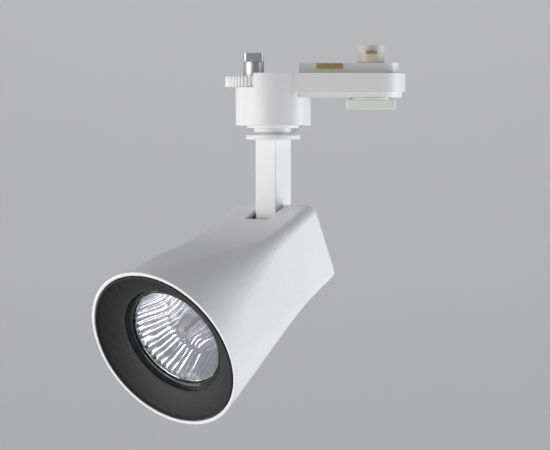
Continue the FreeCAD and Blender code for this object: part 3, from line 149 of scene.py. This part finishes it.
def ease_edges(piece, width, segments=2, angle=40):
    """Breaks a piece's sharp edges by a small round, its width in millimetres, and splits the flats that are
    left into triangles, so that a flat with a notch in it doesn't fold."""
    bevel = piece.modifiers.new("edges", "BEVEL")
    bevel.width = width / 1000
    bevel.segments = segments
    bevel.limit_method = "ANGLE"
    bevel.angle_limit = math.radians(angle)
    piece.modifiers.new("facets", "TRIANGULATE")
    return piece


def stood_for(piece, body, slot, *nodes):
    """The piece moves with its body and stands for the nodes, which are hidden. slot is not used."""
    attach(piece, body)
    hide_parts(*nodes)


def smooth_through(knots, values, at):
    """A natural cubic spline through the stations of the casting."""
    knots, values = np.array(knots, float), np.array(values, float)
    steps = np.diff(knots)
    slopes = np.diff(values) / steps
    system, right = np.eye(len(knots)), np.zeros(len(knots))
    for k in range(1, len(knots) - 1):
        system[k, k - 1:k + 2] = steps[k - 1], 2 * (steps[k - 1] + steps[k]), steps[k]
        right[k] = 6 * (slopes[k] - slopes[k - 1])
    bend = np.linalg.solve(system, right)
    k = int(np.clip(np.searchsorted(knots, at) - 1, 0, len(steps) - 1))
    run = at - knots[k]
    slope = slopes[k] - steps[k] * (2 * bend[k] + bend[k + 1]) / 6
    twist = (bend[k + 1] - bend[k]) / (6 * steps[k])
    return values[k] + run * slope + run**2 * bend[k] / 2 + run**3 * twist


shell_rear, shell_mouth = reach("head_shell")
# depth behind the mouth, half width, half height and corner radius
stations = [
    (0, 39.2, 39.2, 38.9), (12, 36.0, 36.4, 33.0), (27, 32.8, 32.1, 25.0), (42, 29.9, 27.3, 17.2),
    (58, 26.6, 22.9, 9.4), (78, 24.1, 20.2, 5.6), (100, 23.6, 19.5, 4.8),
]
rim_wall, shell_wall, rear_wall = 1.65, 2.1, 2.5
corner_steps, side_steps = 36, 8
least_corner = 0.4


def shell_ring(depth, inset=0.0, inside=False):
    """A rounded rectangle across the optical axis, of the same number of points at every depth."""
    walls = [0 if not inside else rim_wall if k == 0 else shell_wall for k in range(len(stations))]
    half_width, half_height, corner = (
        smooth_through([s[0] for s in stations], [s[size] - wall for s, wall in zip(stations, walls)], depth)
        - inset for size in (1, 2, 3)
    )
    corner = max(corner, least_corner)
    across, up = half_width - corner, half_height - corner
    points = []
    for quarter, (side, rise) in enumerate(((across, up), (-across, up), (-across, -up), (across, -up))):
        for step in range(corner_steps + 1):
            angle = (quarter + step / corner_steps) * math.pi / 2
            y, z = side + corner * math.cos(angle), rise + corner * math.sin(angle)
            points.append((shell_mouth - depth, y, z))
    ring = []
    for k, point in enumerate(points):
        ring.append(point)
        if k % (corner_steps + 1) == corner_steps:
            follows = points[(k + 1) % len(points)]
            for step in range(1, side_steps):
                share = step / side_steps
                ring.append(tuple(a + share * (b - a) for a, b in zip(point, follows)))
    return ring


def skin(rings):
    """Faces between rings of equal length, closed at both ends."""
    count = len(rings[0])
    faces = [list(range(count))]
    for row in range(len(rings) - 1):
        for k in range(count):
            after, here, next_ring = (k + 1) % count, row * count, (row + 1) * count
            faces.append([here + k, here + after, next_ring + after, next_ring + k])
    faces.append([(len(rings) - 1) * count + k for k in range(count)])
    return [point for ring in rings for point in ring], faces


rings, rear_depth = [], stations[-1][0]
for depth in np.linspace(rear_depth - rear_wall, 1.0, 56):
    rings.append(shell_ring(depth, inside=True))
inner_edge, outer_edge, rear_edge = 0.3, 0.5, 1.0
for angle in map(math.radians, (90, 60, 30, 0)):
    rings.append(shell_ring(inner_edge * (1 - math.cos(angle)), -inner_edge * (1 - math.sin(angle)), True))
for angle in map(math.radians, (0, 22, 45, 67, 90)):
    rings.append(shell_ring(outer_edge * (1 - math.cos(angle)), outer_edge * (1 - math.sin(angle))))
for depth in np.linspace(1.2, rear_depth - 1.0, 72):
    rings.append(shell_ring(depth))
for angle in map(math.radians, (22, 45, 67, 90)):
    depth = rear_depth - rear_edge * (1 - math.sin(angle))
    rings.append(shell_ring(depth, rear_edge * (1 - math.cos(angle))))

powder_coat = coat("white_powder_coat_grain", (0.80, 0.80, 0.81), 0.45, 0.9, 0.21, mottle=0.02)
head = solid("head_casting", *skin(rings), head_place, powder_coat)

slot_half_width, slot_front, slot_low, past_rear, past_top = 6.9, 4.2, -6.9, 9, 45
corners = [
    (x, y, z) for x in (shell_rear - past_rear, slot_front)
    for y in (-slot_half_width, slot_half_width) for z in (slot_low, past_top)
]
box_faces = [(0, 1, 3, 2), (4, 6, 7, 5), (0, 4, 5, 1), (2, 3, 7, 6), (0, 2, 6, 4), (1, 5, 7, 3)]
cutter = solid("slot_cutter", corners, box_faces, head_place, powder_coat)
cut = head.modifiers.new("slot", "BOOLEAN")
cut.object, cut.operation, cut.solver = cutter, "DIFFERENCE", "EXACT"
ease_edges(head, 0.35, 3)
settle(head)
bpy.data.objects.remove(cutter)
stood_for(head, "head", "white_powder_coat", "head_shell")

# ---------------------------------------------------------------- baffle ring
# A matt black ring of finely textured plastic that clips into the mouth and hides the lamp's edge. A
# small bead stands just inside the casting's rim, and the dish falls back to the hole before the lamp.


def turned(name, profile, place, material, steps=192):
    """A turned solid about the local X axis. profile is a closed line of (along, radius), in millimetres;
    where it starts and ends at radius 0 its ends are poles."""
    points, rows = [], []
    for along, radius in profile:
        if radius == 0:
            points.append((along, 0, 0))
            rows.append([len(points) - 1] * steps)
            continue
        rows.append(list(range(len(points), len(points) + steps)))
        for step in range(steps):
            angle = 2 * math.pi * step / steps
            points.append((along, radius * math.cos(angle), radius * math.sin(angle)))
    if profile[0][1] > 0:
        rows.append(rows[0])
    faces = []
    for row, after in zip(rows, rows[1:]):
        for k in range(steps):
            n = (k + 1) % steps
            face = list(dict.fromkeys((row[k], row[n], after[n], after[k])))
            if len(face) > 2:
                faces.append(face)
    return solid(name, points, faces, place, material)


def rounded(corners_line, steps=4):
    """A closed line with each (along, radius, round) corner rounded by its own radius."""
    line, count = [], len(corners_line)
    for k, (along, radius, ease) in enumerate(corners_line):
        here = Vector((along, radius))
        if ease == 0:
            line.append((along, radius))
            continue
        before = (Vector(corners_line[k - 1][:2]) - here).normalized()
        after = (Vector(corners_line[(k + 1) % count][:2]) - here).normalized()
        half = before.angle(after) / 2
        trim = ease / math.tan(half)
        start, end = here + before * trim, here + after * trim
        centre = here + (before + after).normalized() * ease / math.sin(half)
        for step in range(steps + 1):
            share = step / steps
            spoke = (start - centre).lerp(end - centre, share).normalized() * ease
            line.append(tuple(centre + spoke))
    return line


baffle_back, baffle_front = reach("baffle_ring")
bead_radius, hole_radius, hole_depth, dish_sag, dish_wall = 37.1, 25.8, 7.4, 1.0, 1.1
dish_radius, dish_start, dish_steps = 36.1, 0.9, 14
dish = []
for step in range(dish_steps + 1):
    share = step / dish_steps
    sag = dish_sag * 4 * share * (1 - share)
    along = baffle_front - dish_start - share * (hole_depth - dish_start) - sag
    dish.append((along, dish_radius + share * (hole_radius + 0.3 - dish_radius)))
baffle_line = rounded([
    (shell_mouth - 6.0, 33.5, 0.2), (shell_mouth - 6.0, 34.9, 0.2), (baffle_front - 0.5, bead_radius, 0),
    (baffle_front - 0.22, bead_radius - 0.08, 0), (baffle_front - 0.05, bead_radius - 0.25, 0),
    (baffle_front, bead_radius - 0.45, 0), (baffle_front - 0.08, bead_radius - 0.65, 0),
    (baffle_front - 0.35, bead_radius - 0.85, 0),
] + [(along, radius, 0) for along, radius in dish] + [
    (baffle_front - hole_depth, hole_radius, 0.25),
    (baffle_front - hole_depth - dish_wall, hole_radius, 0.25),
] + [(along - dish_wall, radius, 0) for along, radius in dish[-3:4:-1]])
baffle_grain = coat("dark_baffle_grain", (0.022, 0.022, 0.023), 0.58, 1.0, 0.30, mottle=0.15, patch=3,
                    Specular_IOR_Level=0.4)
baffle = settle(turned("baffle_dish", baffle_line, head_place, baffle_grain, 256), 50)
stood_for(baffle, "head", "dark_baffle", "baffle_ring")

# ---------------------------------------------------------------- reflector lamp
# A GU10 lamp: a pressed glass bowl, silvered inside in long radial facets, a clear cover glass set in
# its rim, a halogen capsule with its coiled filament, and a white ceramic base with two pins.


def named_tree(name, sockets):
    """An empty Geometry Nodes tree with named inputs and one output, and its two end nodes."""
    tree = bpy.data.node_groups.new(name, "GeometryNodeTree")
    for title, way, kind in sockets:
        tree.interface.new_socket(title, in_out=way, socket_type="NodeSocket" + kind)
    return tree, tree.nodes.new("NodeGroupInput"), tree.nodes.new("NodeGroupOutput")


def grow(piece, tree, **inputs):
    """The piece becomes the plain mesh that the tree makes of it, with the inputs given by name."""
    growth = piece.modifiers.new("growth", "NODES")
    growth.node_group = tree
    sockets = {item.name: item.identifier for item in tree.interface.items_tree if item.in_out == "INPUT"}
    for title, value in inputs.items():
        growth[sockets[title.replace("_", " ")]] = value
    settle(piece)


def ring_of(name, sector, faces, count, place, material):
    """A ring of like sectors about the local Z axis, set out by Geometry Nodes and welded at the joints."""
    seed = solid(name, sector, faces, Matrix.Identity(4), material)
    tree, given, made = named_tree(name + "_ring", (
        ("Sector", "INPUT", "Geometry"), ("Sectors", "INPUT", "Int"),
        ("Finish", "INPUT", "Material"), ("Ring", "OUTPUT", "Geometry"),
    ))
    spots, index = tree.nodes.new("GeometryNodePoints"), tree.nodes.new("GeometryNodeInputIndex")
    pitch, turn = tree.nodes.new("ShaderNodeMath"), tree.nodes.new("ShaderNodeMath")
    pitch.operation, turn.operation = "DIVIDE", "MULTIPLY"
    pitch.inputs[0].default_value = 2 * math.pi
    about, rotation = tree.nodes.new("ShaderNodeCombineXYZ"), tree.nodes.new("FunctionNodeEulerToRotation")
    copies = tree.nodes.new("GeometryNodeInstanceOnPoints")
    real, paint = tree.nodes.new("GeometryNodeRealizeInstances"), tree.nodes.new("GeometryNodeSetMaterial")
    for start, end in (
        (given.outputs["Sectors"], spots.inputs["Count"]), (given.outputs["Sectors"], pitch.inputs[1]),
        (index.outputs["Index"], turn.inputs[0]), (pitch.outputs[0], turn.inputs[1]),
        (turn.outputs[0], about.inputs["Z"]), (about.outputs[0], rotation.inputs[0]),
        (rotation.outputs[0], copies.inputs["Rotation"]), (spots.outputs[0], copies.inputs["Points"]),
        (given.outputs["Sector"], copies.inputs["Instance"]), (copies.outputs[0], real.inputs[0]),
        (real.outputs[0], paint.inputs["Geometry"]), (given.outputs["Finish"], paint.inputs["Material"]),
        (paint.outputs[0], made.inputs["Ring"]),
    ):
        tree.links.new(start, end)
    grow(seed, tree, Sectors=count, Finish=material)
    weld = bmesh.new()
    weld.from_mesh(seed.data)
    bmesh.ops.remove_doubles(weld, verts=weld.verts, dist=0.002)
    bmesh.ops.recalc_face_normals(weld, faces=weld.faces)
    weld.to_mesh(seed.data)
    weld.free()
    seed.data.transform(place)
    return seed


# the head's frame with its optical axis along Z, for what is set out round the axis
lamp_place = head_place @ Matrix(((0, 0, 1, 0), (1, 0, 0, 0), (0, 1, 0, 0), (0, 0, 0, 1)))
bowl_rear, rim_front = reach("lamp_reflector")
glass_rear, glass_front = reach("lamp_cover_glass")
bowl_radius, throat_radius, neck_radius = 22.6, 6.6, 10.3
sectors, flutes, flute_steps, bowl_rows = 12, 4, 6, 40
tiers = ((0.0, 0.42, (0.50, 0.28, 0.56, 0.36)), (0.42, 1.0, (0.44, 0.54, 0.32, 0.46)))


def bowl_point(share, position):
    """Depth along the axis and radius of the bowl, 0 at the glass and 1 at the throat."""
    radius = bowl_radius + share * (throat_radius - bowl_radius)
    fall = (bowl_radius**2 - radius**2) / (bowl_radius**2 - throat_radius**2)
    for low, high, depths in tiers:
        if share <= high:
            break
    flute, across = divmod(position, 1.0)
    along = 2 * (share - low) / (high - low) - 1
    pillow = depths[int(flute) % flutes] * (1 - (2 * across - 1) ** 2) * (1 - along**16)
    pillow *= 0.35 + 0.65 * radius / bowl_radius
    return glass_rear - fall * (glass_rear - bowl_rear), radius - pillow


def bead(radius, height, size):
    """The rounded top of a ring pressed in the rim, from its inner to its outer side."""
    return [
        (height - size + size * math.sin(angle), radius - size * math.cos(angle))
        for angle in map(math.radians, range(0, 181, 30))
    ]


rim_line = [(glass_rear, 23.2), (glass_front + 0.1, 23.25)] + bead(23.65, rim_front, 0.3) + [
    (rim_front - 0.55, 24.02)] + bead(24.3, rim_front - 0.2, 0.22) + [(rim_front - 0.7, 24.58)] + bead(
    24.8, rim_front - 0.5, 0.19) + [
    (rim_front - 3.0, 25.0), (rim_front - 3.0, 24.4), (66.5, 21.6), (59.0, 17.2), (bowl_rear, neck_radius),
]
columns = flutes * flute_steps + 1
sector_points, sector_faces = [], []
for column in range(columns):
    position = column / flute_steps
    angle = 2 * math.pi / sectors * column / (columns - 1)
    line = [bowl_point(1 - row / bowl_rows, position % flutes) for row in range(bowl_rows + 1)] + rim_line
    for along, radius in line:
        sector_points.append((radius * math.cos(angle), radius * math.sin(angle), along))
line_length = bowl_rows + 1 + len(rim_line)
for column in range(columns - 1):
    for row in range(line_length):
        after = (row + 1) % line_length
        sector_faces.append((
            column * line_length + row, column * line_length + after,
            (column + 1) * line_length + after, (column + 1) * line_length + row,
        ))
silvering = coat("silvered_facets", (0.90, 0.90, 0.94), 0.05, 4.0, 0.001, mottle=0.03, patch=6, Metallic=1.0)
pressed_glass = coat("pressed_rim_glass", (0.030, 0.036, 0.036), 0.05, 2.0, 0.004, mottle=0.1, IOR=1.52,
                     Coat_Weight=1.0, Coat_Roughness=0.03)
bowl = ring_of("lamp_bowl", sector_points, sector_faces, sectors, lamp_place, silvering)
bowl.data.materials.append(pressed_glass)
for face in bowl.data.polygons:
    centre = head_place.inverted() @ face.center
    around = math.hypot(centre.y, centre.z)
    share = min(1, max(0, (bowl_radius - around) / (bowl_radius - throat_radius)))
    silvered = bowl_point(share, 0)[0] - 1.6 < centre.x < glass_rear + 0.05
    face.material_index = 0 if around < bowl_radius + 0.3 and silvered else 1
bowl.data.shade_smooth()
bowl.data.set_sharp_from_angle(angle=math.radians(24))
stood_for(bowl, "lamp", "silvered_glass", "lamp_reflector")

lamp_glass = coat("clear_lamp_glass", (0.97, 0.98, 0.98), 0.02, 3.0, 0.004, mottle=0.01, IOR=1.5,
                  Transmission_Weight=1.0)
glass_radius = 23.1
cover = settle(turned("lamp_cover", [
    (glass_rear, 0), (glass_rear, 12.0), (glass_rear, glass_radius - 0.3), (glass_rear + 0.3, glass_radius),
    (glass_front - 0.45, glass_radius), (glass_front - 0.13, glass_radius - 0.13),
    (glass_front, glass_radius - 0.45), (glass_front, 12.0), (glass_front, 0),
], head_place, lamp_glass, 128))
stood_for(cover, "lamp", "clear_glass", "lamp_cover_glass")

capsule_rear, capsule_tip = reach("lamp_capsule")
capsule_radius, capsule_wall = 4.6, 0.8


def capsule_side(inset):
    """The capsule's wall from its open end to the pole of its dome, set in from the outside."""
    radius, centre = capsule_radius - inset, capsule_tip - capsule_radius
    side = [(capsule_rear, radius), (centre, radius)]
    for angle in map(math.radians, range(10, 81, 10)):
        side.append((centre + radius * 0.94 * math.sin(angle), radius * math.cos(angle)))
    pole_sink = 0.28
    return side + [(capsule_tip - pole_sink - inset, 0)]


frosted_glass = coat("frosted_capsule_glass", (0.93, 0.91, 0.93), 0.07, 0.8, 0.004, mottle=0.05, patch=2,
                     IOR=1.5, Transmission_Weight=0.82)
capsule = settle(turned("lamp_capsule_tube", capsule_side(0) + capsule_side(capsule_wall)[::-1],
                        head_place, frosted_glass, 64))
stood_for(capsule, "lamp", "clear_glass", "lamp_capsule")

coil_rear, coil_front = reach("lamp_filament")
tungsten = coat("tungsten_coil", (0.32, 0.32, 0.34), 0.35, 0.2, 0.004, Metallic=1.0)
tree, given, made = named_tree("filament_coil", (
    ("Length", "INPUT", "Float"), ("Turns", "INPUT", "Float"), ("Coil radius", "INPUT", "Float"),
    ("Wire radius", "INPUT", "Float"), ("Finish", "INPUT", "Material"), ("Coil", "OUTPUT", "Geometry"),
))
spiral, wire = tree.nodes.new("GeometryNodeCurveSpiral"), tree.nodes.new("GeometryNodeCurvePrimitiveCircle")
spiral.inputs["Resolution"].default_value = 14
wire.inputs["Resolution"].default_value = 8
tube = tree.nodes.new("GeometryNodeCurveToMesh")
tube.inputs["Fill Caps"].default_value = True
real, paint = tree.nodes.new("GeometryNodeRealizeInstances"), tree.nodes.new("GeometryNodeSetMaterial")
for start, end in (
    (given.outputs["Length"], spiral.inputs["Height"]), (given.outputs["Turns"], spiral.inputs["Rotations"]),
    (given.outputs["Coil radius"], spiral.inputs["Start Radius"]),
    (given.outputs["Coil radius"], spiral.inputs["End Radius"]),
    (given.outputs["Wire radius"], wire.inputs["Radius"]), (spiral.outputs[0], tube.inputs["Curve"]),
    (wire.outputs[0], tube.inputs["Profile Curve"]), (tube.outputs[0], real.inputs[0]),
    (real.outputs[0], paint.inputs["Geometry"]), (given.outputs["Finish"], paint.inputs["Material"]),
    (paint.outputs[0], made.inputs["Coil"]),
):
    tree.links.new(start, end)
filament = solid("lamp_coil", [(0, 0, 0)], [], Matrix.Identity(4), tungsten)
coil_end_gap = 0.2
grow(filament, tree, Length=coil_front - coil_rear - 2 * coil_end_gap, Turns=15.0, Coil_radius=0.7,
     Wire_radius=0.16, Finish=tungsten)
filament.data.transform(lamp_place @ Matrix.Translation((0, 0, coil_rear + coil_end_gap)))
stood_for(filament, "lamp", "zinc_steel", "lamp_filament")


def dress(material, *nodes):
    """Gives CAD nodes whose shape is right their real finish."""
    for node in nodes:
        for holder in frame["nodes"][node].material_slots:
            holder.material = material


glazed_ceramic = coat("white_ceramic", (0.78, 0.76, 0.71), 0.38, 1.2, 0.02, mottle=0.05, patch=5)
dress(glazed_ceramic, "lamp_base", "lamp_holder")
plated_steel = coat("zinc_plated_steel", (0.56, 0.57, 0.56), 0.40, 0.5, 0.006, mottle=0.10, patch=4,
                    Metallic=1.0)
dress(plated_steel, "lamp_pins", "holder_contacts", "holder_screw", "earth_tag", "earth_screw")

# ---------------------------------------------------------------- tilt bracket and pivot
# A folded zinc-plated steel bracket screwed to the casting's posts. Its two ears grip the stem's foot
# between fibre washers, on a bolt with a disc spring and a lock nut, so that the head holds its tilt.

dress(plated_steel, "tilt_bracket", "bracket_screws", "pivot_bolt", "disc_spring", "pivot_lock_nut")
fibre = coat("red_fibre", (0.30, 0.09, 0.05), 0.75, 0.5, 0.03, mottle=0.15, patch=1.5)
dress(fibre, "friction_washers")

# ---------------------------------------------------------------- stem
# A 12 mm square aluminium tube, powder coated white like the head, on a round flange that turns
# under the adapter. The leads run inside it from the terminals to the lamp holder.

dress(powder_coat, "stem", "stem_flange")


def lead(name, colour):
    """Silicone-covered flexible lead."""
    return coat(name, colour, 0.4, 1.5, 0.01, mottle=0.06, patch=2)


dress(lead("brown_lead", (0.16, 0.05, 0.02)), "live_lead", "holder_live_lead")
dress(lead("blue_lead", (0.02, 0.12, 0.50)), "neutral_lead", "holder_neutral_lead")
dress(lead("green_yellow_lead", (0.45, 0.55, 0.03)), "earth_lead")
dress(plated_steel, "spindle", "stop_washer", "wave_washer", "spindle_nut")
dress(fibre, "thrust_washer")

# ---------------------------------------------------------------- adapter
# The adapter's barrel and arm are one white plastic moulding with a satin surface. A lid under
# the arm and a stepped swivel plate under the barrel close it, all with small moulded edge rounds.


def moulded_copy(name, node, width, material, body, slot, segments=2):
    """A copy of a CAD node with its facets merged and its sharp edges eased, which stands for the node."""
    work = bmesh.new()
    work.from_mesh(frame["nodes"][node].data)
    bmesh.ops.remove_doubles(work, verts=work.verts, dist=2e-6)
    bmesh.ops.dissolve_limit(work, angle_limit=math.radians(0.5), verts=work.verts, edges=work.edges)
    mesh = bpy.data.meshes.new(name)
    work.to_mesh(mesh)
    work.free()
    mesh.materials.clear()
    mesh.materials.append(material)
    mesh.shade_smooth()
    piece = bpy.data.objects.new(name, mesh)
    bpy.context.scene.collection.objects.link(piece)
    ease_edges(piece, width, segments)
    flats = piece.modifiers.new("flats", "WEIGHTED_NORMAL")
    flats.keep_sharp, flats.weight = True, 90
    settle(piece, 50)
    stood_for(piece, body, slot, node)


satin_white = coat("white_polycarbonate", (0.80, 0.80, 0.80), 0.34, 1.4, 0.006, mottle=0.012, patch=14)
moulded_copy("adapter_moulding", "adapter_body", 0.3, satin_white, "adapter", "white_plastic")
moulded_copy("arm_cover", "arm_lid", 0.25, satin_white, "adapter", "white_plastic")
moulded_copy("swivel_cap", "swivel_plate", 0.2, satin_white, "adapter", "white_plastic")
dress(plated_steel, "lid_screws", "terminal_screws")
brass = coat("drawn_brass", (0.72, 0.50, 0.20), 0.28, 0.6, 0.005, mottle=0.10, patch=3, Metallic=1.0)
dress(brass, "line_busbar", "neutral_busbar", "earth_contacts", "line_contact", "neutral_contact")
natural_nylon = coat("natural_nylon", (0.62, 0.60, 0.54), 0.48, 0.8, 0.01, mottle=0.05, patch=4)
dress(natural_nylon, "terminal_block", "contact_turret")

# ---------------------------------------------------------------- contact lever
# A small lever of paler, faintly green plastic under the arm's end. Turning it a quarter swings the
# live contacts out of the arm into the track.

pale_moulding = coat("pale_lever_plastic", (0.74, 0.76, 0.71), 0.36, 1.0, 0.012, mottle=0.03, patch=5)
moulded_copy("contact_lever_grip", "contact_lever", 0.35, pale_moulding, "contact_lever", "pale_plastic", 3)

# ---------------------------------------------------------------- locking dial
# A white plastic dial with upright ribs for the fingertips, let into the side of the barrel. It turns
# the steel cam that holds the adapter up in the track.

dial_low, dial_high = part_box("locking_dial")
dial_centre = Vector(joints["locking_dial_turn"]["pos_m"])
dial_radius = (dial_high.y - dial_low.y) * 500
rib_count, rib_depth, rib_steps, dial_ease = 48, 0.5, 6, 0.3
dial_thickness = 5.0
dial_top = dial_high.z * 1000
dial_bottom = dial_top - dial_thickness
rows = 6
sector_points, sector_faces = [], []
for step in range(rib_steps + 1):
    across = step / rib_steps
    angle = 2 * math.pi / rib_count * (across - 0.5)
    edge = dial_radius - rib_depth * max(0.0, math.cos(2 * math.pi * across)) ** 0.7
    for radius, height in (
        (0, dial_bottom), (edge - dial_ease, dial_bottom), (edge, dial_bottom + dial_ease),
        (edge, dial_top - dial_ease), (edge - dial_ease, dial_top), (0, dial_top),
    ):
        sector_points.append((radius * math.cos(angle), radius * math.sin(angle), height))
for step in range(rib_steps):
    for row in range(rows - 1):
        a, b = step * rows + row, (step + 1) * rows + row
        if row == 0:
            sector_faces.append((a, b + 1, a + 1))
        elif row == rows - 2:
            sector_faces.append((a, b, a + 1))
        else:
            sector_faces.append((a, b, b + 1, a + 1))
dial_place = Matrix.Translation((dial_centre.x, dial_centre.y, 0)) @ millimetres
dial = ring_of("locking_dial_rim", sector_points, sector_faces, rib_count, dial_place, satin_white)
dial.data.shade_smooth()
dial.data.set_sharp_from_angle(angle=math.radians(38))
stood_for(dial, "locking_dial", "white_plastic", "locking_dial")
dress(plated_steel, "locking_cam")

# ---------------------------------------------------------------- room, light and camera
# A plain pale floor that sweeps up all round into a tall pale cloth, which glows faintly. The main
# softboxes stand to the left and close on the right, so that the flare's upper side falls into grey.
# Weaker ones fill in from the far left and from above, and one lights the cloth.

floor_drop, cloth_radius, sweep_radius, cloth_top = -1.45, 2.7, 0.9, 3.6
sweep = [(floor_drop, 0), (floor_drop, cloth_radius - sweep_radius)]
sweep_steps = 12
for step in range(1, sweep_steps + 1):
    angle = math.pi / 2 * step / sweep_steps
    sweep.append((floor_drop + sweep_radius * (1 - math.cos(angle)),
                  cloth_radius - sweep_radius + sweep_radius * math.sin(angle)))
sweep.append((cloth_top, cloth_radius))
upright = Matrix(((0, 0, -1, 0), (0, 1, 0, 0), (1, 0, 0, 0), (0, 0, 0, 1)))
backdrop_cloth = coat("pale_backdrop", (0.55, 0.55, 0.56), 0.9, 2.0, 0.01, mottle=0.015, patch=300,
                      Emission_Color=(0.96, 0.97, 1.0, 1), Emission_Strength=0.12)
backdrop = turned("backdrop", [(height * 1000, radius * 1000) for height, radius in sweep],
                  upright @ millimetres, backdrop_cloth, 96)
backdrop.data.shade_smooth()

aim = (cad_low + cad_high) / 2


def softbox(name, target, azimuth, elevation, distance, width, height, power, colour=(1, 1, 1)):
    """A rectangular soft light aimed at a point, from an azimuth round it and a height above it."""
    light = bpy.data.lights.new(name, "AREA")
    light.shape, light.size, light.size_y = "RECTANGLE", width, height
    light.energy, light.color = power, colour
    box = bpy.data.objects.new(name, light)
    a, e = math.radians(azimuth), math.radians(elevation)
    away = Vector((math.sin(a) * math.cos(e), -math.cos(a) * math.cos(e), math.sin(e)))
    box.location = target + away * distance
    box.rotation_euler = away.to_track_quat("Z", "Y").to_euler()
    bpy.context.scene.collection.objects.link(box)


softbox("left_softbox", aim, -58, -12, 1.0, 1.1, 1.1, 10.0, (1.0, 0.99, 0.97))
softbox("left_fill", aim, -112, -28, 1.0, 1.2, 1.2, 2.2)
softbox("right_softbox", aim, 90, -15, 0.9, 0.5, 0.9, 7.2, (0.97, 0.98, 1.0))
softbox("top_softbox", aim, -110, 45, 1.2, 0.6, 0.6, 3.0)
softbox("cloth_light", Vector((0, cloth_radius, -0.2)), 0, 35, 1.6, 1.8, 0.6, 8.0)
world = bpy.data.worlds.new("studio")
world.use_nodes = True
world.node_tree.nodes["Background"].inputs["Color"].default_value = (0.95, 0.96, 1.0, 1)
world.node_tree.nodes["Background"].inputs["Strength"].default_value = 0.05
bpy.context.scene.world = world
bpy.context.scene.view_settings.view_transform = "Standard"

camera = bpy.data.cameras.new("camera")
camera.lens, camera.sensor_width = 145.7, 36
viewer = bpy.data.objects.new("camera", camera)
viewer.location = (0.0008, -1.043, -0.0323)
viewer.rotation_euler = (math.radians(87.89), 0, 0)
bpy.context.scene.collection.objects.link(viewer)
bpy.context.scene.camera = viewer
